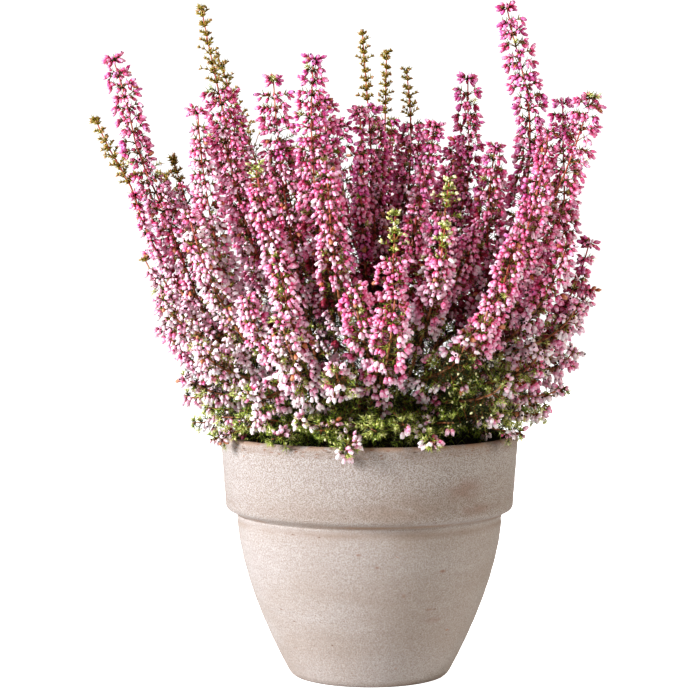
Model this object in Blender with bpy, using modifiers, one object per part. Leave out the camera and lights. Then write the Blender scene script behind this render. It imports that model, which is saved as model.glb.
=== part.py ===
"""Potted cape heath: a bushy heath of upright flower spikes, in a clay pot with a deep collar.

The frame's origin is the middle of the pot's underside. X runs to the right, Y to the back and Z up.
A short stem stands in the compost and forks into thin boughs. Each bough's tip carries two or three
sprays: a spray of flower spikes that rises to the crown's outline, or a green one that spreads over
the rim. Sizes below are in millimetres; MM turns them into Blender's metres.
"""

import math
import random
from collections import namedtuple

import bmesh
import bpy
from mathutils import Euler, Matrix, Vector
from mathutils.kdtree import KDTree

MM = 0.001
GAP = 0.3  # clear air that every touching pair of solids keeps

# Pot: a turned clay wall with a deep collar round its mouth and three drain holes.
POT_HEIGHT = 130.0
RIM_RADIUS = 80.0
COLLAR_FOOT_RADIUS = 77.2
COLLAR_FOOT_Z = 90.5
NECK_RADIUS = 71.2
NECK_Z = 86.5
FOOT_RADIUS = 42.0
WALL = 7.0
FLOOR = 9.0
BELLY_POWER = 1.62  # how full the wall is between foot and neck; 1 would be a plain cone
TURNED_STEPS = 30
DRAIN_HOLES = 3
DRAIN_RADIUS = 4.0
DRAIN_RING = 21.0

# Compost: fills the pot to a little under the rim and domes slightly.
SOIL_Z = 117.0
SOIL_DOME = 1.2

# Main stem, with its flare at the compost and a slight lean to the left.
STEM_FOOT = (-2.0, -4.0)
STEM_TOP = (-4.0, -4.0, 148.0)
STEM_FOOT_RADIUS = 6.2
STEM_RADIUS = 3.5
STEM_TOP_RADIUS = 2.6

# Boughs leave the stem in a ring of levels and end in a knuckle that the sprays leave from.
BOUGH_FOOT_RADIUS = 1.5
KNUCKLE_RADIUS = 1.25
BOUGH_LEVELS = (125.5, 130.5, 135.5)
BOUGH_RISE = 0.6
FORK_SPREAD = math.radians(60)
FORK_FAN = math.radians(60)
SKIRT_RISE = -0.02
UPTURN = (0.28, 0.55)  # how strongly a low and a tall spike turn up, as a share of their length

# Spikes: a thin stem that swells into a lumpy column of bells, and the tufts that stand out of it.
SPIKE_STEM_RADIUS = 0.6
SPIKE_TIP_RADIUS = 0.4
CORE_SHARE = 0.85  # of a flower column's half width
PASSES = 14
LUMPS = 0.2  # how far a column's corners stand in or out, as a share of its radius
LOW_GIRTH = 1.35  # a column's girth where it starts and where it ends, by its middle girth
HIGH_GIRTH = 0.85
GREEN_CORE = 3.0
SKIRT_CORE = 5.2
SAMPLE_STEP = 1.5
SPACE_MARGIN = 0.75
RIM_CLEARANCE = 2.2
LEADER_RINGS = (0, 0.07, 0.18, 0.36, 0.62, 0.94, 1)
SIDE_RINGS = (0, 0.1, 0.28, 0.5, 0.9, 1)
GREEN_RINGS = (0, 0.25, 0.75, 1)
TUFTS = 3  # on a leader; its side spikes have two fewer
GREEN_TUFT_STEP = 17.0  # along a green tip
SKIRT_TUFTS = 2  # on each twig of a green spray
GOLDEN_TURN = math.radians(137.5)
SEED = 41

# The crown's skin, which the low spikes reach: its radius at the rim and at its widest.
SKIN_FOOT_RADIUS = 88.0
SKIN_RADIUS = 120.0
SKIN_WIDEST_Z = 225.0
SKIN_DEPTH = 0.93
LOW_TIP_Z = (153.0, 214.0)
LOW_HALF = 10.0
LOW_FAN = 15.0  # degrees between the low spikes of one bough

Tip = namedtuple("Tip", "x y z half bare lean", defaults=(None,))
Bough = namedtuple("Bough", "turn reach z")

# Boughs: the way each leans, in degrees from +X towards +Y, how far out it forks, and how high.
OUTER_BOUGHS = {
    "west": Bough(187, 43, 141),
    "southwest": Bough(212, 40, 144),
    "south_southwest": Bough(240, 41, 140),
    "south": Bough(268, 38, 143),
    "southeast": Bough(302, 41, 140),
    "east_southeast": Bough(336, 40, 144),
    "east": Bough(5, 58, 147),
    "northeast": Bough(38, 41, 143),
    "north": Bough(76, 40, 140),
    "north_northwest": Bough(112, 41, 144),
    "northwest": Bough(148, 42, 141),
}
INNER_BOUGHS = {
    "inner_left": Bough(200, 15, 160),
    "inner_back": Bough(80, 15, 162),
    "inner_right": Bough(330, 16, 161),
}

# Each spray's bough and the tips of its spikes, the leader first. A tip is its place across, behind
# and above the pot's foot, then the half width of its flower column and the length of its green
# tip. The last number, where there is one, is how far the tip leans across, in a hundredth of its
# rise; the others lean with their place in the crown.
SPRAYS = {
    "spray_left_far": ("west", [Tip(-135, -20, 330, 8, 0), Tip(-143, -35, 298, 6, 40)]),
    "spray_left_mid": ("west", [Tip(-105, -2, 278, 8, 16), Tip(-122, -10, 231, 8, 8)]),
    "spray_left_low": ("west", [Tip(-111, -30, 196, 8, 0), Tip(-99, -12, 172, 7, 0)]),
    "spray_left_tall": ("southwest", [Tip(-88, -30, 356, 10, 42, -18), Tip(-76, -52, 292, 9, 0)]),
    "spray_left_front": ("southwest", [Tip(-88, -60, 301, 8, 0, -4), Tip(-92, -72, 248, 8, 0)]),
    "spray_centre_left": ("south_southwest", [Tip(-50, -45, 318, 9, 0, -5), Tip(-58, -74, 272, 8, 10)]),
    "spray_front_left": ("south_southwest", [Tip(-46, -98, 228, 8, 0), Tip(-62, -88, 206, 8, 0)]),
    "spray_centre_tall": ("south", [Tip(-29, -60, 327, 9, 0, 8), Tip(-22, -84, 268, 9, 0)]),
    "spray_front": ("south", [Tip(12, -85, 249, 9, 22), Tip(-8, -98, 212, 9, 0)]),
    "spray_front_right": ("southeast", [Tip(40, -60, 266, 9, 18), Tip(37, -86, 244, 8, 16)]),
    "spray_right_front": ("southeast", [Tip(72, -84, 236, 9, 0), Tip(58, -98, 204, 8, 0)]),
    "spray_right_far": ("east_southeast", [Tip(115, -30, 310, 9, 0, 24), Tip(93, -26, 292, 8, 0, 6)]),
    "spray_right_mid": ("east_southeast", [Tip(88, -56, 272, 9, 0), Tip(101, -50, 232, 9, 0)]),
    "spray_right_low": ("east_southeast", [Tip(111, -18, 182, 8, 0), Tip(105, -28, 162, 7, 0)]),
    "spray_right_upright": ("inner_right", [Tip(54, 30, 323, 9, 0, 3), Tip(50, 56, 288, 10, 0)]),
    "spray_right_tall": ("east", [Tip(75, 0, 359, 9, 0, -30), Tip(66, -22, 284, 9, 0)]),
    "spray_right_edge": ("east", [Tip(122, 18, 247, 6, 0, 12), Tip(118, 4, 208, 8, 0)]),
    "spray_right_outer": ("northeast", [Tip(105, 22, 309, 8, 0, -4), Tip(112, 44, 250, 9, 0)]),
    "spray_right_back": ("northeast", [Tip(75, 60, 284, 11, 0), Tip(92, 74, 248, 10, 0)]),
    "spray_back_right": ("northeast", [Tip(96, 82, 240, 10, 12), Tip(80, 92, 206, 10, 0)]),
    "spray_back": ("north", [Tip(14, 112, 302, 11, 24), Tip(2, 116, 262, 10, 0)]),
    "spray_back_east": ("north", [Tip(50, 104, 282, 11, 0), Tip(64, 104, 238, 10, 0)]),
    "spray_back_left": ("north_northwest", [Tip(-83, 70, 332, 9, 60, -34), Tip(-60, 92, 268, 11, 0)]),
    "spray_back_west": ("north_northwest", [Tip(-34, 108, 290, 11, 0), Tip(-22, 114, 250, 10, 0)]),
    "spray_left_back": ("northwest", [Tip(-113, 40, 270, 10, 10), Tip(-122, 30, 234, 10, 0)]),
    "spray_left_behind": ("northwest", [Tip(-82, 56, 296, 11, 0), Tip(-98, 66, 250, 10, 0)]),
    "spray_centre": ("inner_left", [Tip(-4, 0, 345, 9, 40, -8), Tip(-7, -43, 301, 9, 0)]),
    "spray_centre_mid": ("inner_left", [Tip(-24, -14, 309, 9, 0, -3), Tip(-48, 14, 284, 11, 0)]),
    "spray_centre_back": ("inner_back", [Tip(10, 50, 338, 9, 40), Tip(-18, 60, 300, 11, 0)]),
    "spray_centre_right": ("inner_back", [Tip(20, 12, 325, 9, 26, -13), Tip(28, 50, 292, 11, 0)]),
    "spray_right_centre": (
        "inner_right",
        [Tip(34, -30, 295, 8, 0, 18), Tip(24, -46, 252, 8, 0), Tip(53, -42, 238, 9, 0)],
    ),
}

# Green sprays that spread over the rim: their bough, the way they lean and how far and high they end.
SKIRTS = {
    "skirt_west": ("west", 182, 95, 136),
    "skirt_southwest": ("southwest", 208, 92, 132),
    "skirt_south_southwest": ("south_southwest", 236, 90, 134),
    "skirt_south": ("south", 262, 91, 130),
    "skirt_southeast": ("southeast", 291, 89, 133),
    "skirt_east_southeast": ("east_southeast", 327, 93, 135),
    "skirt_east": ("east", 4, 96, 139),
    "skirt_northeast": ("northeast", 30, 92, 134),
    "skirt_north": ("north", 66, 90, 133),
    "skirt_north_northwest": ("north_northwest", 100, 91, 136),
    "skirt_northwest": ("northwest", 142, 93, 134),
}
SKIRT_HALF = 7.0
SKIRT_FAN = 9.5  # degrees that a green spray's side twig turns away from its stem


def clear_scene():
    for obj in list(bpy.data.objects):
        bpy.data.objects.remove(obj, do_unlink=True)


def collection(name):
    made = bpy.data.collections.new(name)
    bpy.context.scene.collection.children.link(made)
    return made


def material(name, colour, roughness, metallic=0.0):
    made = bpy.data.materials.new(name)
    made.use_nodes = True
    shader = made.node_tree.nodes["Principled BSDF"]
    shader.inputs["Base Color"].default_value = (*colour, 1)
    shader.inputs["Roughness"].default_value = roughness
    shader.inputs["Metallic"].default_value = metallic
    return made


def metres(*values):
    return Vector(values) * MM


# Turned pieces: the pot and the compost in it.


def wall_radius(z):
    """The outer radius of the pot's body at a height, from its foot to its neck."""
    share = min(max(z / NECK_Z, 0), 1)
    return FOOT_RADIUS + (NECK_RADIUS - FOOT_RADIUS) * (1 - (1 - share) ** BELLY_POWER)


def inner_radius(z):
    """The inner radius of the pot, which follows its wall and runs straight behind the collar."""
    if z < NECK_Z:
        return wall_radius(z) - WALL
    share = (z - NECK_Z) / (POT_HEIGHT - NECK_Z)
    return NECK_RADIUS - WALL + (RIM_RADIUS - NECK_RADIUS) * share


def arc(centre, radius, start, end, count):
    """Points on a round edge, from one angle to another in degrees."""
    for i in range(count):
        angle = math.radians(start + (end - start) * i / (count - 1))
        yield centre[0] + radius * math.cos(angle), centre[1] + radius * math.sin(angle)


def turned(name, profile, into):
    """A solid of revolution from a profile of (radius, z) that runs down its outer side."""
    mesh = bpy.data.meshes.new(name)
    points = [metres(r, 0, z) for r, z in profile]
    mesh.from_pydata(points, [(i, i + 1) for i in range(len(points) - 1)], [])
    obj = bpy.data.objects.new(name, mesh)
    into.objects.link(obj)
    screw = obj.modifiers.new("turn", "SCREW")
    screw.axis = "Z"
    screw.steps = screw.render_steps = TURNED_STEPS
    screw.use_merge_vertices = True
    screw.merge_threshold = 0.00005
    screw.use_smooth_shade = True
    return obj


def pot_profile():
    lip = WALL / 2
    inside = [(0, FLOOR), (inner_radius(FLOOR) - 4, FLOOR), (inner_radius(FLOOR + 4), FLOOR + 4)]
    inside += [(inner_radius(z), z) for z in (32, 58, NECK_Z, POT_HEIGHT - lip)]
    mouth = list(arc((RIM_RADIUS - lip, POT_HEIGHT - lip), lip, 180, 0, 5))[1:]
    collar = [(COLLAR_FOOT_RADIUS, COLLAR_FOOT_Z + 3), (COLLAR_FOOT_RADIUS - 1, COLLAR_FOOT_Z + 0.8)]
    collar += [(COLLAR_FOOT_RADIUS - 3, COLLAR_FOOT_Z), (NECK_RADIUS + 0.4, NECK_Z)]
    body = [(wall_radius(z), z) for z in (70, 53, 36, 20, 9, 2.5)]
    foot = [(FOOT_RADIUS - 0.4, 1.0), (FOOT_RADIUS - 2.2, 0), (0, 0)]
    return inside + mouth + collar + body + foot


def make_pot(into, cutters):
    pot = turned("pot", pot_profile(), into)
    for i in range(DRAIN_HOLES):
        angle = 2 * math.pi * (i + 0.25) / DRAIN_HOLES
        place = metres(DRAIN_RING * math.cos(angle), DRAIN_RING * math.sin(angle), FLOOR / 2)
        bpy.ops.mesh.primitive_cylinder_add(
            vertices=12, radius=DRAIN_RADIUS * MM, depth=3 * FLOOR * MM, location=place
        )
        hole = bpy.context.object
        hole.name = f"drain_cutter_{i}"
        bpy.context.collection.objects.unlink(hole)
        cutters.objects.link(hole)
        hole.hide_render = True
        hole.display_type = "WIRE"
        cut = pot.modifiers.new(f"drain_{i}", "BOOLEAN")
        cut.operation = "DIFFERENCE"
        cut.object = hole
    return pot


def make_compost(into):
    top = [(0, SOIL_Z + SOIL_DOME), (34, SOIL_Z + 0.7 * SOIL_DOME)]
    edge = [(inner_radius(z) - GAP, z) for z in (SOIL_Z, NECK_Z, 58, 32, FLOOR + 4)]
    foot = [(inner_radius(FLOOR) - 4 - GAP, FLOOR + GAP), (0, FLOOR + GAP)]
    return turned("compost", top + edge + foot, into)


# Limbs: tapering tubes along smooth curves.


def bezier(p0, p1, p2, p3, count):
    """Evenly stepped points on a cubic curve."""
    for i in range(count):
        t = i / (count - 1)
        s = 1 - t
        yield p0 * s**3 + p1 * 3 * s * s * t + p2 * 3 * s * t * t + p3 * t**3


def tube(name, points, radii, sides, into):
    """A tapering tube through the points, as a mesh whose capped ends are welded shut."""
    curve = bpy.data.curves.new(name, "CURVE")
    curve.dimensions = "3D"
    curve.bevel_depth = MM
    curve.bevel_resolution = sides // 2 - 2
    curve.use_fill_caps = True
    spline = curve.splines.new("POLY")
    spline.points.add(len(points) - 1)
    for spot, place, radius in zip(spline.points, points, radii):
        spot.co = (*(place * MM), 1)
        spot.radius = radius
    rod = bpy.data.objects.new(name + "_line", curve)
    into.objects.link(rod)
    bpy.context.view_layer.update()
    mesh = bpy.data.meshes.new_from_object(rod.evaluated_get(bpy.context.evaluated_depsgraph_get()))
    bpy.data.objects.remove(rod)
    bpy.data.curves.remove(curve)
    shape = bmesh.new()
    shape.from_mesh(mesh)
    bmesh.ops.remove_doubles(shape, verts=shape.verts, dist=1e-7)
    shape.to_mesh(mesh)
    shape.free()
    mesh.name = name
    mesh.shade_smooth()
    obj = bpy.data.objects.new(name, mesh)
    into.objects.link(obj)
    return obj


def rounded_end(points, radii, radius):
    """Adds a knuckle's round end to a limb's points and radii. Its centre is the last point."""
    along = (points[-1] - points[-2]).normalized()
    centre = points[-1]
    for share, width in ((0.55, 0.84), (0.9, 0.44)):
        points.append(centre + along * radius * share)
        radii.append(radius * width)


def fork_ways(origin, targets):
    """The directions in which limbs leave a fork: the most upright straight up, the rest fanned."""
    rises = [(t - origin).normalized().z for t in targets]
    upright = rises.index(max(rises))
    outs = {k: (t - origin).xy.normalized() for k, t in enumerate(targets) if k != upright}
    mean = sum(outs.values(), Vector((0, 0)))
    middle = math.atan2(mean.y, mean.x)
    turns = {
        k: (math.atan2(out.y, out.x) - middle + math.pi) % math.tau - math.pi
        for k, out in outs.items()
    }
    order = sorted(turns, key=turns.get)
    spread = [turns[k] for k in order]
    for i in range(1, len(spread)):
        spread[i] = max(spread[i], spread[i - 1] + FORK_FAN)
    drift = (sum(spread) - sum(turns.values())) / max(len(spread), 1)
    ways = {upright: Vector((0, 0, 1))}
    for k, turn in zip(order, spread):
        turn += middle - drift
        out = Vector((math.cos(turn), math.sin(turn), 0)) * math.sin(FORK_SPREAD)
        ways[k] = out + Vector((0, 0, math.cos(FORK_SPREAD)))
    return [ways[k] for k in range(len(targets))]


def ring_place(turn, reach, z):
    angle = math.radians(turn)
    return Vector((reach * math.cos(angle), reach * math.sin(angle), z))


def stem_line():
    """The main stem's points and radii, from the flat cut on the compost to its rounded top."""
    foot = Vector((*STEM_FOOT, SOIL_Z + SOIL_DOME + GAP))
    top = Vector(STEM_TOP)
    points = [foot, foot + Vector((0, 0, 1.2)), foot + Vector((0, 0, 3.6)), foot + Vector((0, 0, 8))]
    radii = [STEM_FOOT_RADIUS, 4.9, 4.0, STEM_RADIUS]
    points += [points[-1].lerp(top, share) for share in (0.45, 1)]
    radii += [3.2, STEM_TOP_RADIUS]
    rounded_end(points, radii, STEM_TOP_RADIUS)
    return points, radii


def stem_at(z):
    """The middle and the radius of the main stem at a height."""
    points, radii = stem_line()
    for low, high, wide, narrow in zip(points, points[1:], radii, radii[1:]):
        if z <= high.z:
            break
    share = (z - low.z) / (high.z - low.z)
    return low.lerp(high, share), wide + (narrow - wide) * share


def bough_line(start, way, end):
    """A bough's points and radii, from the stem to the middle of its knuckle."""
    length = (end - start).length
    points = list(
        bezier(start, start + way * length * 0.35, end - Vector((0, 0, 1)) * length * 0.25, end, 5)
    )
    taper = (KNUCKLE_RADIUS - BOUGH_FOOT_RADIUS) / (len(points) - 1)
    radii = [BOUGH_FOOT_RADIUS + taper * i for i in range(len(points))]
    return points, radii


def bough_lines():
    """Every bough's points and radii, each starting clear of the main stem."""
    lines = {}
    top = Vector(STEM_TOP)
    for i, (name, bough) in enumerate(OUTER_BOUGHS.items()):
        middle, width = stem_at(BOUGH_LEVELS[i % len(BOUGH_LEVELS)])
        way = ring_place(bough.turn, 1, BOUGH_RISE).normalized()
        out = ring_place(bough.turn, width + GAP + BOUGH_FOOT_RADIUS * way.z, 0)
        end = top * Vector((1, 1, 0)) + ring_place(bough.turn, bough.reach, bough.z)
        lines[name] = bough_line(middle + out, way, end)
    ends = [top * Vector((1, 1, 0)) + ring_place(b.turn, b.reach, b.z) for b in INNER_BOUGHS.values()]
    ways = fork_ways(top, ends)
    for name, way, end in zip(INNER_BOUGHS, ways, ends):
        start = top + way * (STEM_TOP_RADIUS + 2 * GAP)
        lines[name] = bough_line(start, way, end)
    return lines


# Sprays: the lines of their spikes, and the space that each keeps to.


def tip_way(tip):
    """The direction in which a spike's tip points."""
    lean = tip.x / 4 if tip.lean is None else tip.lean
    return Vector((lean / 100, tip.y / 450, 1)).normalized()


def spike_line(start, way, end, end_way):
    """A spike's line: it leaves along its fork's way and turns up towards its tip."""
    length = (end - start).length
    pull = UPTURN[0] + (UPTURN[1] - UPTURN[0]) * min(max((end.z - 160) / 90, 0), 1)
    return list(bezier(start, start + way * length * 0.2, end - end_way * length * pull, end, 41))


def skin_radius(z):
    """The radius of the crown's skin, which swells from the rim up to its widest."""
    share = min(max((z - POT_HEIGHT) / (SKIN_WIDEST_Z - POT_HEIGHT), 0), 1)
    return SKIN_FOOT_RADIUS + (SKIN_RADIUS - SKIN_FOOT_RADIUS) * math.sin(share * math.pi / 2)


def low_tip(number, turn):
    """The tip of the low spike that each outer spray has, on the crown's skin."""
    z = LOW_TIP_Z[0] + (LOW_TIP_Z[1] - LOW_TIP_Z[0]) * ((number * 0.618) % 1)
    angle = math.radians(turn)
    x, y = skin_radius(z) * math.cos(angle), skin_radius(z) * math.sin(angle) * SKIN_DEPTH
    return Tip(x, y, z, LOW_HALF, 0, 40 * math.cos(angle))


def bearing(tip, turn):
    """How far round from a direction a tip lies, in degrees."""
    return (math.degrees(math.atan2(tip.y, tip.x)) - turn + 180) % 360 - 180


def all_tips():
    """Every spray's tips: those listed, and the low ones of the outer boughs, fanned side by side."""
    tips = {name: list(listed) for name, (_, listed) in SPRAYS.items()}
    numbers = {name: number for number, name in enumerate(SPRAYS)}
    for name, bough in OUTER_BOUGHS.items():
        sprays = [spray for spray, (parent, _) in SPRAYS.items() if parent == name]
        sprays.sort(key=lambda spray: bearing(tips[spray][0], bough.turn))
        for place, spray in enumerate(sprays):
            turn = bough.turn + LOW_FAN * (place - (len(sprays) - 1) / 2)
            tips[spray].append(low_tip(numbers[spray], turn))
    return tips


def skirt_ends(turn, reach, z):
    """The ends of a green spray's stem and of its two side twigs."""
    yield ring_place(turn, reach, z)
    for side in (-1, 1):
        yield ring_place(turn + side * SKIRT_FAN, reach * 0.93, z + 9)


def spray_lines(boughs, tips):
    """Each spray's spike lines. A spray's first line starts 0.3 mm clear of its bough's knuckle."""
    children = {}
    for name, (bough, _) in SPRAYS.items():
        ends = [Vector((t.x, t.y, t.z)) for t in tips[name]]
        children.setdefault(bough, []).append((name, ends, [tip_way(t) for t in tips[name]]))
    for name, (bough, turn, reach, z) in SKIRTS.items():
        ends = list(skirt_ends(turn, reach, z))
        out = [(e * Vector((1, 1, 0))).normalized() for e in ends]
        children.setdefault(bough, []).append((name, ends, out))
    lines = {}
    for bough, sprays in children.items():
        points = boughs[bough][0]
        knuckle = points[-1]
        ways = fork_ways(knuckle, [ends[0] for _, ends, _ in sprays])
        for way, (name, ends, end_ways) in zip(ways, sprays):
            if name in SKIRTS:
                way = (way * Vector((1, 1, 0))).normalized() + Vector((0, 0, SKIRT_RISE))
                way.normalize()
            start = knuckle + way * (KNUCKLE_RADIUS + 2 * GAP)
            leader = spike_line(start, way, ends[0], end_ways[0])
            lines[name] = [leader]
            for i, (end, end_way) in enumerate(zip(ends[1:], end_ways[1:])):
                at = 11 - 4 * i
                along = (leader[at + 1] - leader[at]).normalized()
                bend = (along + (end - leader[at]).normalized()).normalized()
                lines[name].append(spike_line(leader[at], bend, end, end_way))
    return lines


def walked(line, step):
    """Points along a line at even steps, each with its share of the way."""
    lengths = [(b - a).length for a, b in zip(line, line[1:])]
    total = sum(lengths)
    count = max(2, round(total / step) + 1)
    i, passed = 0, 0.0
    for k in range(count):
        goal = total * k / (count - 1)
        while i < len(lengths) - 1 and passed + lengths[i] < goal:
            passed += lengths[i]
            i += 1
        yield line[i].lerp(line[i + 1], min(1, (goal - passed) / lengths[i])), k / (count - 1)


def tree_of(points):
    tree = KDTree(len(points))
    for i, point in enumerate(points):
        tree.insert(point, i)
    tree.balance()
    return tree


class Space:
    """What each spray may fill: nearer to its own lines than to any other's, clear of limbs and pot."""

    def __init__(self, lines, limbs):
        self.own = {
            name: tree_of([p for line in group for p, _ in walked(line, SAMPLE_STEP)])
            for name, group in lines.items()
        }
        self.limbs = [
            (tree_of([p for p, _ in walked(points, SAMPLE_STEP)]), max(radii[-3:]) if i else radii[3])
            for i, (points, radii) in enumerate(limbs)
        ]

    def room(self, name, point):
        """How far a point is from leaving the spray's space; it is outside where this is negative."""
        own = self.own[name].find(point)[2]
        others = min(tree.find(point)[2] for other, tree in self.own.items() if other != name)
        limb = min(tree.find(point)[2] - width - 1.0 for tree, width in self.limbs)
        return min((others - own) / 2 - SPACE_MARGIN, limb, self.pot_room(point))

    @staticmethod
    def pot_room(point):
        """How far a point is from the pot's wall and the compost, roughly."""
        out = math.hypot(point.x, point.y)
        if out < inner_radius(POT_HEIGHT):
            return max(point.z - SOIL_Z - SOIL_DOME - 1, -1)
        return max(point.z - POT_HEIGHT - RIM_CLEARANCE, out - RIM_RADIUS - 1)


# Tufts: each stands for a whorl of bells or of needle leaves.


def tuft_mesh():
    """A blunt lozenge of eight faces, one unit from its middle to its ends."""
    mesh = bpy.data.meshes.new("tuft")
    shape = bmesh.new()
    bmesh.ops.create_uvsphere(shape, u_segments=4, v_segments=2, radius=1)
    shape.to_mesh(mesh)
    shape.free()
    return mesh


def tuft(mesh, root, way, length, width, into):
    """One lozenge from its root outwards, or None where no object is made."""
    turn = way.to_track_quat("X", "Z").to_matrix().to_4x4()
    scale = Matrix.Diagonal((length / 2 * MM, width / 2 * MM, width / 2 * MM, 1))
    obj = bpy.data.objects.new("tuft", mesh.copy())
    obj.data.transform(Matrix.Translation((root + way * length / 2) * MM) @ turn @ scale)
    into.objects.link(obj)
    return obj


def fits(space, name, root, way, length, width):
    """Whether a lozenge keeps to its spray's space: its end, middle and sides are tried."""
    side = way.cross(Vector((0, 0, 1))).normalized() * width / 2
    up = way.cross(side).normalized() * width / 2
    middle = root + way * length / 2
    spots = (root + way * length, middle + side, middle - side, middle + up, middle - up)
    return all(space.room(name, spot) > 0 for spot in spots)


def outward(along, turn):
    """A direction square to a line, turned about it."""
    side = along.cross(Vector((0.3, 1, 0))).normalized()
    return side * math.cos(turn) + along.cross(side) * math.sin(turn)


def at_share(line, share):
    """The place at a share of the way along a line."""
    spot = share * (len(line) - 1)
    i = min(int(spot), len(line) - 2)
    return line[i].lerp(line[i + 1], spot - i)


def core_rings(shares, half, bloom_end, green):
    """The places and radii of a spike's core: thin at the foot, blunt on top, slim on a green tip."""
    rings = []
    if bloom_end > 0:
        for share in shares:
            girth = LOW_GIRTH + (HIGH_GIRTH - LOW_GIRTH) * share
            swell = min(1, share / 0.1)
            blunt = 0.5 if share == 1 else 1
            radius = max(SPIKE_STEM_RADIUS, CORE_SHARE * half * girth * swell * blunt)
            rings.append((share * bloom_end, radius))
        if bloom_end < 1:
            rest = 1 - bloom_end
            rings += [(bloom_end + 0.1 * rest, green), (bloom_end + 0.6 * rest, green * 0.7)]
            rings.append((1, SPIKE_TIP_RADIUS))
    else:
        for share in GREEN_RINGS:
            swell = min(1, share / 0.3, (1 - share) / 0.3)
            rings.append((share, max(SPIKE_STEM_RADIUS * (1 - share / 2), green * swell)))
    return rings


def make_lumpy(obj, points, radii, space, name, rng):
    """Moves a core's corners in or out, then draws them in until its edges keep to its space."""
    centres = tree_of(points)
    rings = [centres.find(corner.co / MM)[1] for corner in obj.data.vertices]
    outs = [corner.co / MM - points[i] for corner, i in zip(obj.data.vertices, rings)]
    outs = [out * (1 + rng.uniform(-LUMPS, LUMPS) * (radii[i] > 2)) for out, i in zip(outs, rings)]
    edges = [tuple(edge.vertices) for edge in obj.data.edges]
    for _ in range(PASSES):
        places = [points[i] + out for i, out in zip(rings, outs)]
        spots = [(k, k) for k in range(len(places))] + edges
        crowded = {
            k
            for a, b in spots
            if space.room(name, (places[a] + places[b]) / 2) < 0
            for k in (a, b)
            if outs[k].length > SPIKE_STEM_RADIUS
        }
        if not crowded:
            break
        outs = [out * 0.86 if k in crowded else out for k, out in enumerate(outs)]
    for corner, i, out in zip(obj.data.vertices, rings, outs):
        corner.co = (points[i] + out) * MM


def spike_solids(space, name, line, half, bare, leader, rng, lozenge, into):
    """One spike: a stem that swells into its flower column's core, with tufts standing out of it."""
    length = sum((b - a).length for a, b in zip(line, line[1:]))
    bloom_end = 1 - bare / length if bare < length else 0
    green = GREEN_CORE if bloom_end else SKIRT_CORE
    rings = core_rings(LEADER_RINGS if leader else SIDE_RINGS, half, bloom_end, green)
    points = [at_share(line, share) for share, _ in rings]
    radii = [radius for _, radius in rings]
    core = tube("spike", points, radii, 6 if leader and bloom_end else 4, into)
    make_lumpy(core, points, radii, space, name, rng)
    solids = [core]
    turn = rng.uniform(0, math.tau)
    tufts = TUFTS if leader else TUFTS - 2
    shares = [(i + 0.8) / (tufts + 0.6) * bloom_end for i in range(tufts if bloom_end else 0)]
    greens = int(bare / GREEN_TUFT_STEP) if bloom_end else SKIRT_TUFTS
    shares += [bloom_end + (1 - bloom_end) * (i + 0.5) / greens for i in range(greens)]
    for share in shares:
        point = at_share(line, share)
        along = (at_share(line, share + 0.02) - at_share(line, share - 0.02)).normalized()
        turn += GOLDEN_TURN + rng.uniform(-0.25, 0.25)
        if share > bloom_end:
            way = (outward(along, turn) + along * 0.7).normalized()
            root, size, width = point, green + rng.uniform(4.5, 6.0), 4.5
        else:
            way = (outward(along, turn) - along * 0.2).normalized()
            root = point + way * half * 0.3
            size, width = half * rng.uniform(0.95, 1.25), 8.0
        if fits(space, name, root, way, size, width):
            solids.append(tuft(lozenge, root, way, size, width, into))
    return solids


# Joining: one union for each spray, with scraps and sealed hollows dropped.


def largest_shell(mesh):
    """Keeps a mesh's largest shell of faces, and says whether that shell is closed."""
    shape = bmesh.new()
    shape.from_mesh(mesh)
    bmesh.ops.triangulate(shape, faces=shape.faces)
    left, shells = set(shape.faces), []
    while left:
        found, edge = set(), {next(iter(left))}
        while edge:
            found |= edge
            sides = {e for face in edge for e in face.edges if len(e.link_faces) == 2}
            edge = {face for side in sides for face in side.link_faces} - found
        shells.append(found)
        left -= found
    keep = max(shells, key=len)
    bmesh.ops.delete(shape, geom=[f for f in shape.faces if f not in keep], context="FACES")
    closed = all(len(e.link_faces) == 2 for e in shape.edges)
    shape.to_mesh(mesh)
    shape.free()
    return closed


def joined(name, solids, into):
    """One solid from a stem and what stands on it."""
    stem, rest = solids[0], solids[1:]
    group = bpy.data.collections.new(name + "_pieces")
    bpy.context.scene.collection.children.link(group)
    for piece in rest:
        group.objects.link(piece)
    for solver in ("EXACT", "MANIFOLD"):
        union = stem.modifiers.new("join", "BOOLEAN")
        union.operation = "UNION"
        union.operand_type = "COLLECTION"
        union.collection = group
        union.solver = solver
        bpy.context.view_layer.update()
        mesh = bpy.data.meshes.new_from_object(
            stem.evaluated_get(bpy.context.evaluated_depsgraph_get())
        )
        stem.modifiers.remove(union)
        if largest_shell(mesh):
            break
    for piece in solids:
        bpy.data.objects.remove(piece)
    bpy.data.collections.remove(group)
    mesh.name = name
    obj = bpy.data.objects.new(name, mesh)
    into.objects.link(obj)
    return obj


def make_limbs(into):
    stem = stem_line()
    boughs = bough_lines()
    made = [tube("stem", *stem, 12, into)]
    for name, (points, radii) in boughs.items():
        ends, widths = list(points), list(radii)
        rounded_end(ends, widths, KNUCKLE_RADIUS)
        made.append(tube(f"bough_{name}", ends, widths, 6, into))
    return made, stem, boughs


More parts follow.
